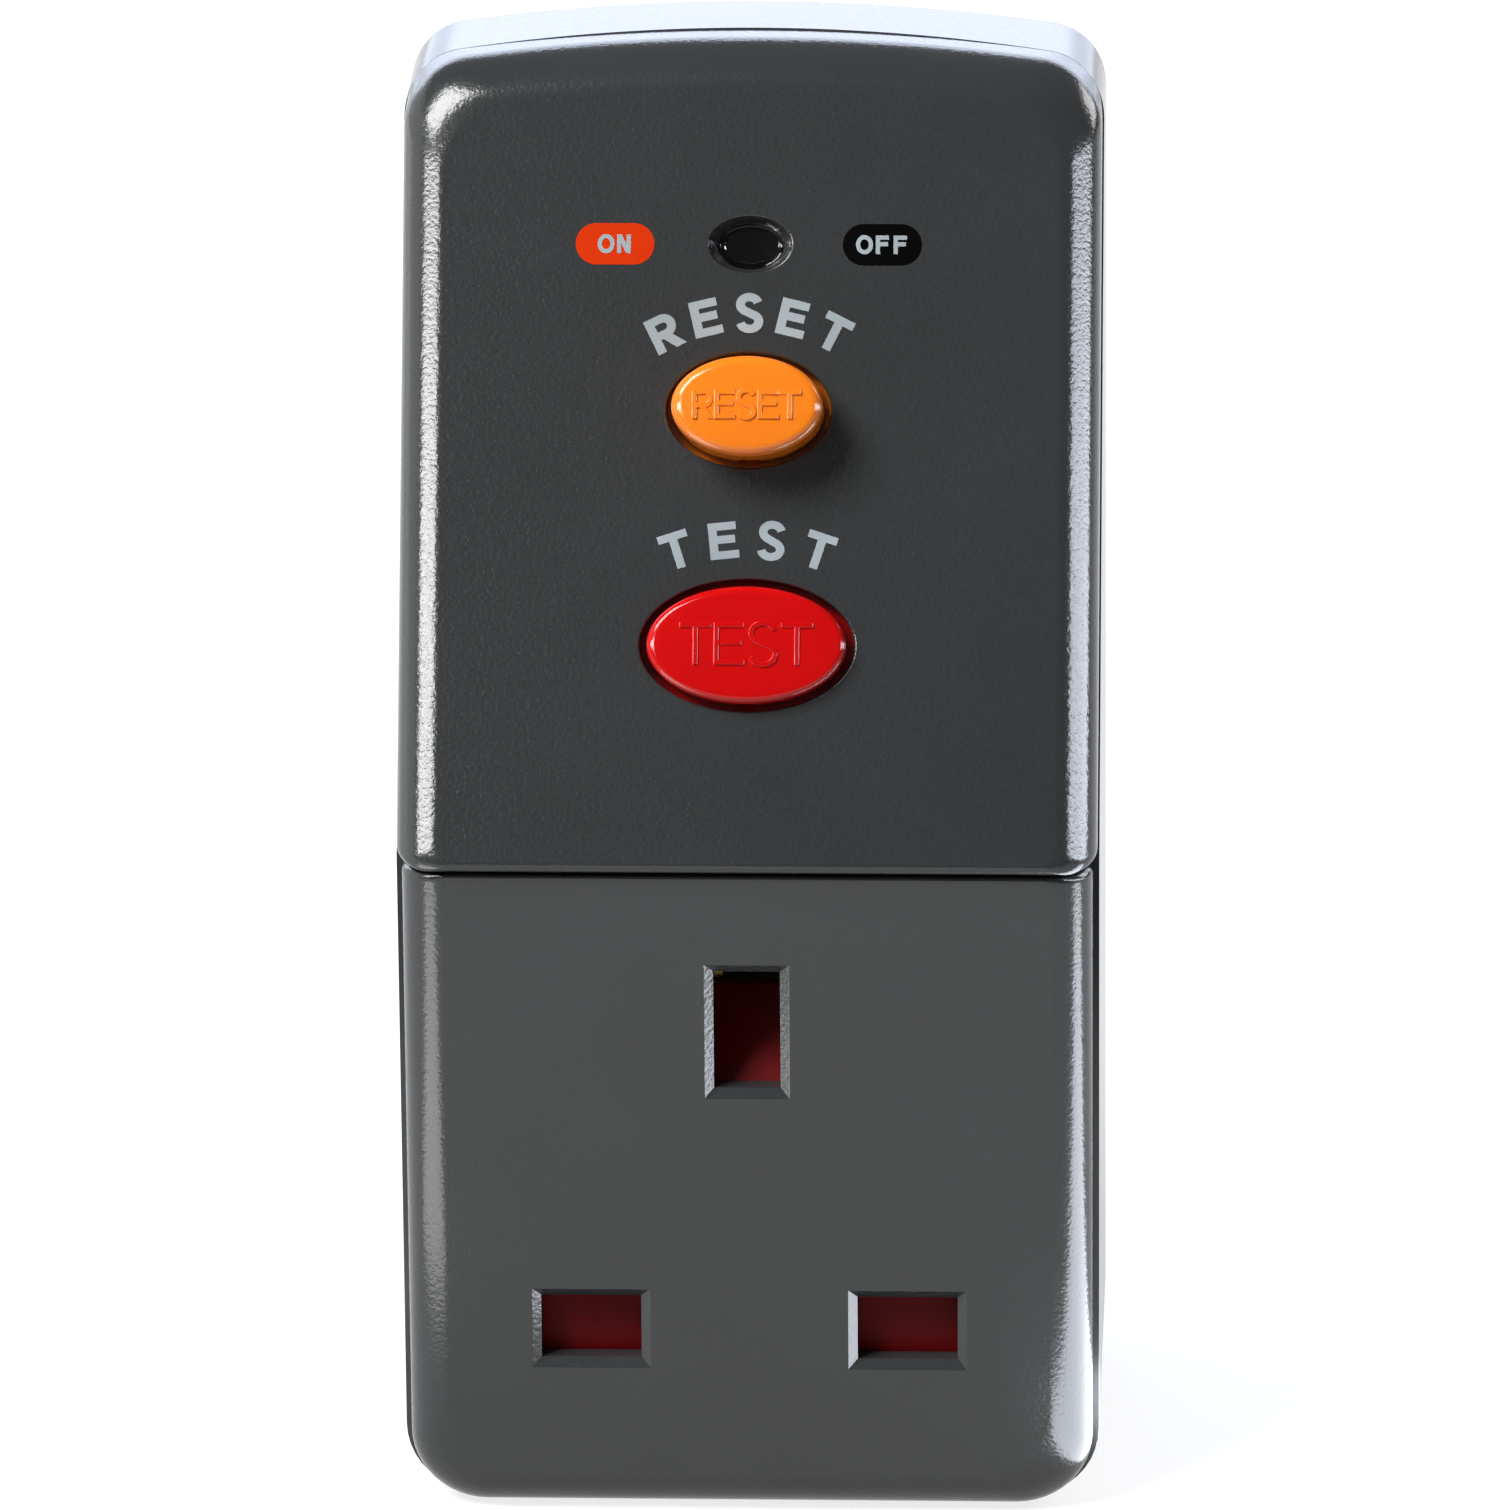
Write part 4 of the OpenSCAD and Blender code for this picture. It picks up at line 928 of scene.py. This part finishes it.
def spring(node, foot, axis, length, radius, wire, turns):
    """A wire helix that stands for a node."""
    axis = Vector(axis).normalized()
    side = axis.orthogonal().normalized()
    other = axis.cross(side)
    steps, sides = 28, 10
    start, rise = wire / 2, length - wire
    rings = []
    total = round(turns * steps)
    for i in range(total + 1):
        a = 2 * math.pi * i / steps
        t = i / total
        out = side * math.cos(a) + other * math.sin(a)
        centre = Vector(foot) + axis * (start + rise * t) + out * radius
        rings.append([
            centre + wire / 2 * (out * math.cos(b) + axis * math.sin(b))
            for b in (2 * math.pi * j / sides for j in range(sides))
        ])
    obj = mesh_object(node + "_wire", rings)
    soften(obj, angle=60)
    dress(obj, LOOKS["spring_steel"], "housing", "spring_steel", node)
    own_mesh(obj)


def panel_point(v, d):
    """A point on the panel's middle line, at a height up the slope and a depth."""
    return PANEL_ORIGIN + PANEL_UP * v - PANEL_OUT * d


def make_springs():
    """The wire of the five springs."""
    reset_foot = panel_point(RESET_V, FRAME_D)
    test_foot = panel_point(TEST_V, FRAME_D)
    opening_foot = panel_point(RESET_V, FRAME_BACK)
    latch_foot = panel_point(YOKE_TOP_V, COIL_D)
    shutter_foot = Vector((0, SHUTTER_MID_Y, 7.1 * MM))
    up = (0, 0, 1)
    thin, thick = 0.36 * MM, 0.42 * MM
    # Node, joint, foot, axis, free length and radius in mm, wire, turns, shut length in mm
    for node, joint, foot, axis, length, radius, wire, turns, shut in (
        ("reset_spring", "reset_press", reset_foot, PANEL_OUT, 4.5, 2.6, thick, 3.5, 2.5),
        ("test_spring", "test_press", test_foot, PANEL_OUT, 4.5, 2.45, thin, 4, 3.4),
        ("opening_spring", "contact_close", opening_foot, -PANEL_OUT, 4.8, 2.7, thin, 4, 2.8),
        ("latch_spring", "trip_pull", latch_foot, PANEL_UP, 4.2, 2.4, thin, 3, 2.0),
        ("shutter_spring", "shutter_slide", shutter_foot, up, 8.9, 1.05, thin, 7, 3.3),
    ):
        spring(node, foot, axis, length * MM, radius * MM, wire, turns)


# Carried-over nodes

def finish_nodes():
    """Every node gets its slot's material. A copy with eased edges stands for those that show."""
    slots = {row["node"]: row["material_slot"] for row in frame["record"]["subparts"]}
    for name, slot in slots.items():
        mesh = NODES[name].data
        mesh.materials.clear()
        mesh.materials.append(LOOKS[slot])
    for name, body, width in (
        ("earth_pin", "housing", 0.35 * MM),
        ("line_pin", "housing", 0.3 * MM),
        ("neutral_pin", "housing", 0.3 * MM),
        ("line_pin_sleeve", "housing", 0.12 * MM),
        ("neutral_pin_sleeve", "housing", 0.12 * MM),
        ("case_screws", "housing", 0.12 * MM),
        ("contact_carrier", "housing", 0.12 * MM),
        ("socket_shutter", "shutter", 0.15 * MM),
    ):
        eased = linked(name + "_eased", NODES[name].data.copy())
        dress(eased, LOOKS[slots[name]], body, slots[name], name)
        ease_edges(eased, width)


# Camera, floor and light

PHOTO_PX = 1510
FOCAL_PX = 13018
SENSOR_MM = 36
MIDDLE = Vector((0, -20 * MM, 35 * MM))


def direction(azimuth, elevation):
    """A direction from the object in degrees, azimuth from the front to the right."""
    a, e = math.radians(azimuth), math.radians(elevation)
    return Vector((math.sin(a) * math.cos(e), -math.cos(a) * math.cos(e), math.sin(e)))


def make_camera():
    """The photograph's view: long lens, slightly from the right and above."""
    distance = 900 * MM
    target = Vector((0.75 * MM, FACE_Y, 42.65 * MM))
    back = direction(2.5, 19)
    roll = Matrix.Rotation(math.radians(-0.49), 4, "Z")
    data = bpy.data.cameras.new("camera")
    data.sensor_width = SENSOR_MM
    data.lens = SENSOR_MM * FOCAL_PX / PHOTO_PX
    data.clip_start, data.clip_end = 0.05, 50
    camera = linked("camera", data)
    turn = (-back).to_track_quat("-Z", "Y").to_matrix().to_4x4()
    camera.matrix_world = Matrix.Translation(target + back * distance) @ turn @ roll
    bpy.context.scene.camera = camera


def seen_rays(tree):
    """1 for camera, glossy and transmission rays."""
    rays = tree.nodes.new("ShaderNodeLightPath")
    total = rays.outputs["Is Camera Ray"]
    for name in ("Is Glossy Ray", "Is Transmission Ray"):
        node = tree.nodes.new("ShaderNodeMath")
        node.operation = "MAXIMUM"
        tree.links.new(total, node.inputs[0])
        tree.links.new(rays.outputs[name], node.inputs[1])
        total = node.outputs[0]
    return total


def make_floor():
    """A wide pale floor that shows white and keeps the shadow."""
    half, below = 6.0, 0.02 * MM
    grey, glow_strength = 0.3, 0.8
    mesh = bpy.data.meshes.new("floor")
    mesh.from_pydata(
        [(x, y, BOTTOM_Z - below) for x, y in rectangle(half, half)], [], [(0, 1, 2, 3)])
    floor = linked("floor", mesh)
    material, tree, shader, _ = new_material("floor_white")
    shader.inputs["Base Color"].default_value = (grey, grey, grey, 1)
    shader.inputs["Roughness"].default_value = 0.9
    shader.inputs["Specular IOR Level"].default_value = 0.0
    glow = tree.nodes.new("ShaderNodeEmission")
    mix = tree.nodes.new("ShaderNodeMixShader")
    both = tree.nodes.new("ShaderNodeAddShader")
    glow.inputs["Strength"].default_value = glow_strength
    tree.links.new(shader.outputs["BSDF"], both.inputs[0])
    tree.links.new(glow.outputs["Emission"], both.inputs[1])
    tree.links.new(seen_rays(tree), mix.inputs["Fac"])
    tree.links.new(shader.outputs["BSDF"], mix.inputs[1])
    tree.links.new(both.outputs["Shader"], mix.inputs[2])
    tree.links.new(mix.outputs["Shader"], tree.nodes["Material Output"].inputs["Surface"])
    mesh.materials.append(material)


def softbox(name, centre, aim, size, radiance, colour=(1, 1, 1), gloss_only=False, turn=0.0):
    """An area lamp at a place, aimed at a point. A gloss-only one just shows in reflections."""
    data = bpy.data.lights.new(name, "AREA")
    data.shape = "RECTANGLE"
    data.size, data.size_y = size
    data.energy = radiance * math.pi * size[0] * size[1]
    data.color = colour
    lamp = linked(name, data)
    lamp.location = centre
    lamp.rotation_mode = "QUATERNION"
    facing = (Vector(aim) - Vector(centre)).to_track_quat("-Z", "Y")
    lamp.rotation_quaternion = Quaternion((0, 0, 1), math.radians(turn)) @ facing
    lamp.visible_camera = False
    lamp.visible_diffuse = not gloss_only
    return lamp


def from_object(azimuth, elevation, distance):
    """A place in a direction from the object's middle."""
    return MIDDLE + direction(azimuth, elevation) * distance


def strip(name, start, end, height, radiance, colour):
    """A slim gloss-only lamp between two directions, for the edges' highlights."""
    distance = 0.8
    a, b = from_object(*start, distance), from_object(*end, distance)
    lamp = softbox(name, (a + b) / 2, MIDDLE, ((b - a).length, height), radiance, colour, True)
    along = (b - a).normalized()
    away = (lamp.location - MIDDLE).normalized()
    across = away.cross(along).normalized()
    away = along.cross(across)
    lamp.rotation_quaternion = Matrix((along, across, away)).transposed().to_quaternion()


def card(name, x, y, size, radiance, colour, turn):
    """A gloss-only lamp that lies on the floor and faces up, turned in degrees."""
    place = Vector((x, y, BOTTOM_Z + 0.5 * MM))
    softbox(name, place, place + Vector((0, 0, 1)), size, radiance, colour, True, turn)


def make_light():
    """A dim world, soft lamps, and slim ones where the case's rounds mirror them."""
    world = bpy.data.worlds.new("studio")
    bpy.context.scene.world = world
    world.use_nodes = True
    background = world.node_tree.nodes["Background"]
    background.inputs["Color"].default_value = (0.95, 0.97, 1, 1)
    background.inputs["Strength"].default_value = 0.1
    warm, cool, sky = (1, 1, 0.98), (0.86, 0.91, 1.0), (0.76, 0.83, 1.0)
    softbox("key_box", from_object(-56, 50, 1.0), MIDDLE, (0.46, 0.46), 22.0)
    strip("left_strip", (-62, 16), (-20, 27), 0.11, 27.0, warm)
    softbox("left_wall", from_object(-105, 8, 0.8), MIDDLE, (1.0, 0.9), 1.3, warm, True)
    strip("right_strip", (44, 22), (98, 1), 0.13, 18.0, cool)
    softbox("right_fill", from_object(118, 25, 0.9), MIDDLE, (0.4, 0.4), 8.0)
    softbox("back_strip", from_object(183, 27, 0.8), MIDDLE, (1.4, 0.37), 4.8, sky)
    softbox("back_low", from_object(183, 7, 0.8), MIDDLE, (1.4, 0.2), 2.4, sky, True)
    card("left_card", -84 * MM, -109 * MM, (0.062, 0.11), 4.8, warm, -33)
    card("right_card", 94 * MM, -45 * MM, (0.05, 0.138), 12.0, cool, 80)


make_camera()
make_control_cover()
make_socket_cover()
make_rear_shell()
make_reset_button()
make_test_button()
make_lens()
make_arched_print()
make_pills()
make_raised_words()
make_springs()
finish_nodes()
make_floor()
make_light()
bpy.context.scene.view_settings.view_transform = "Standard"
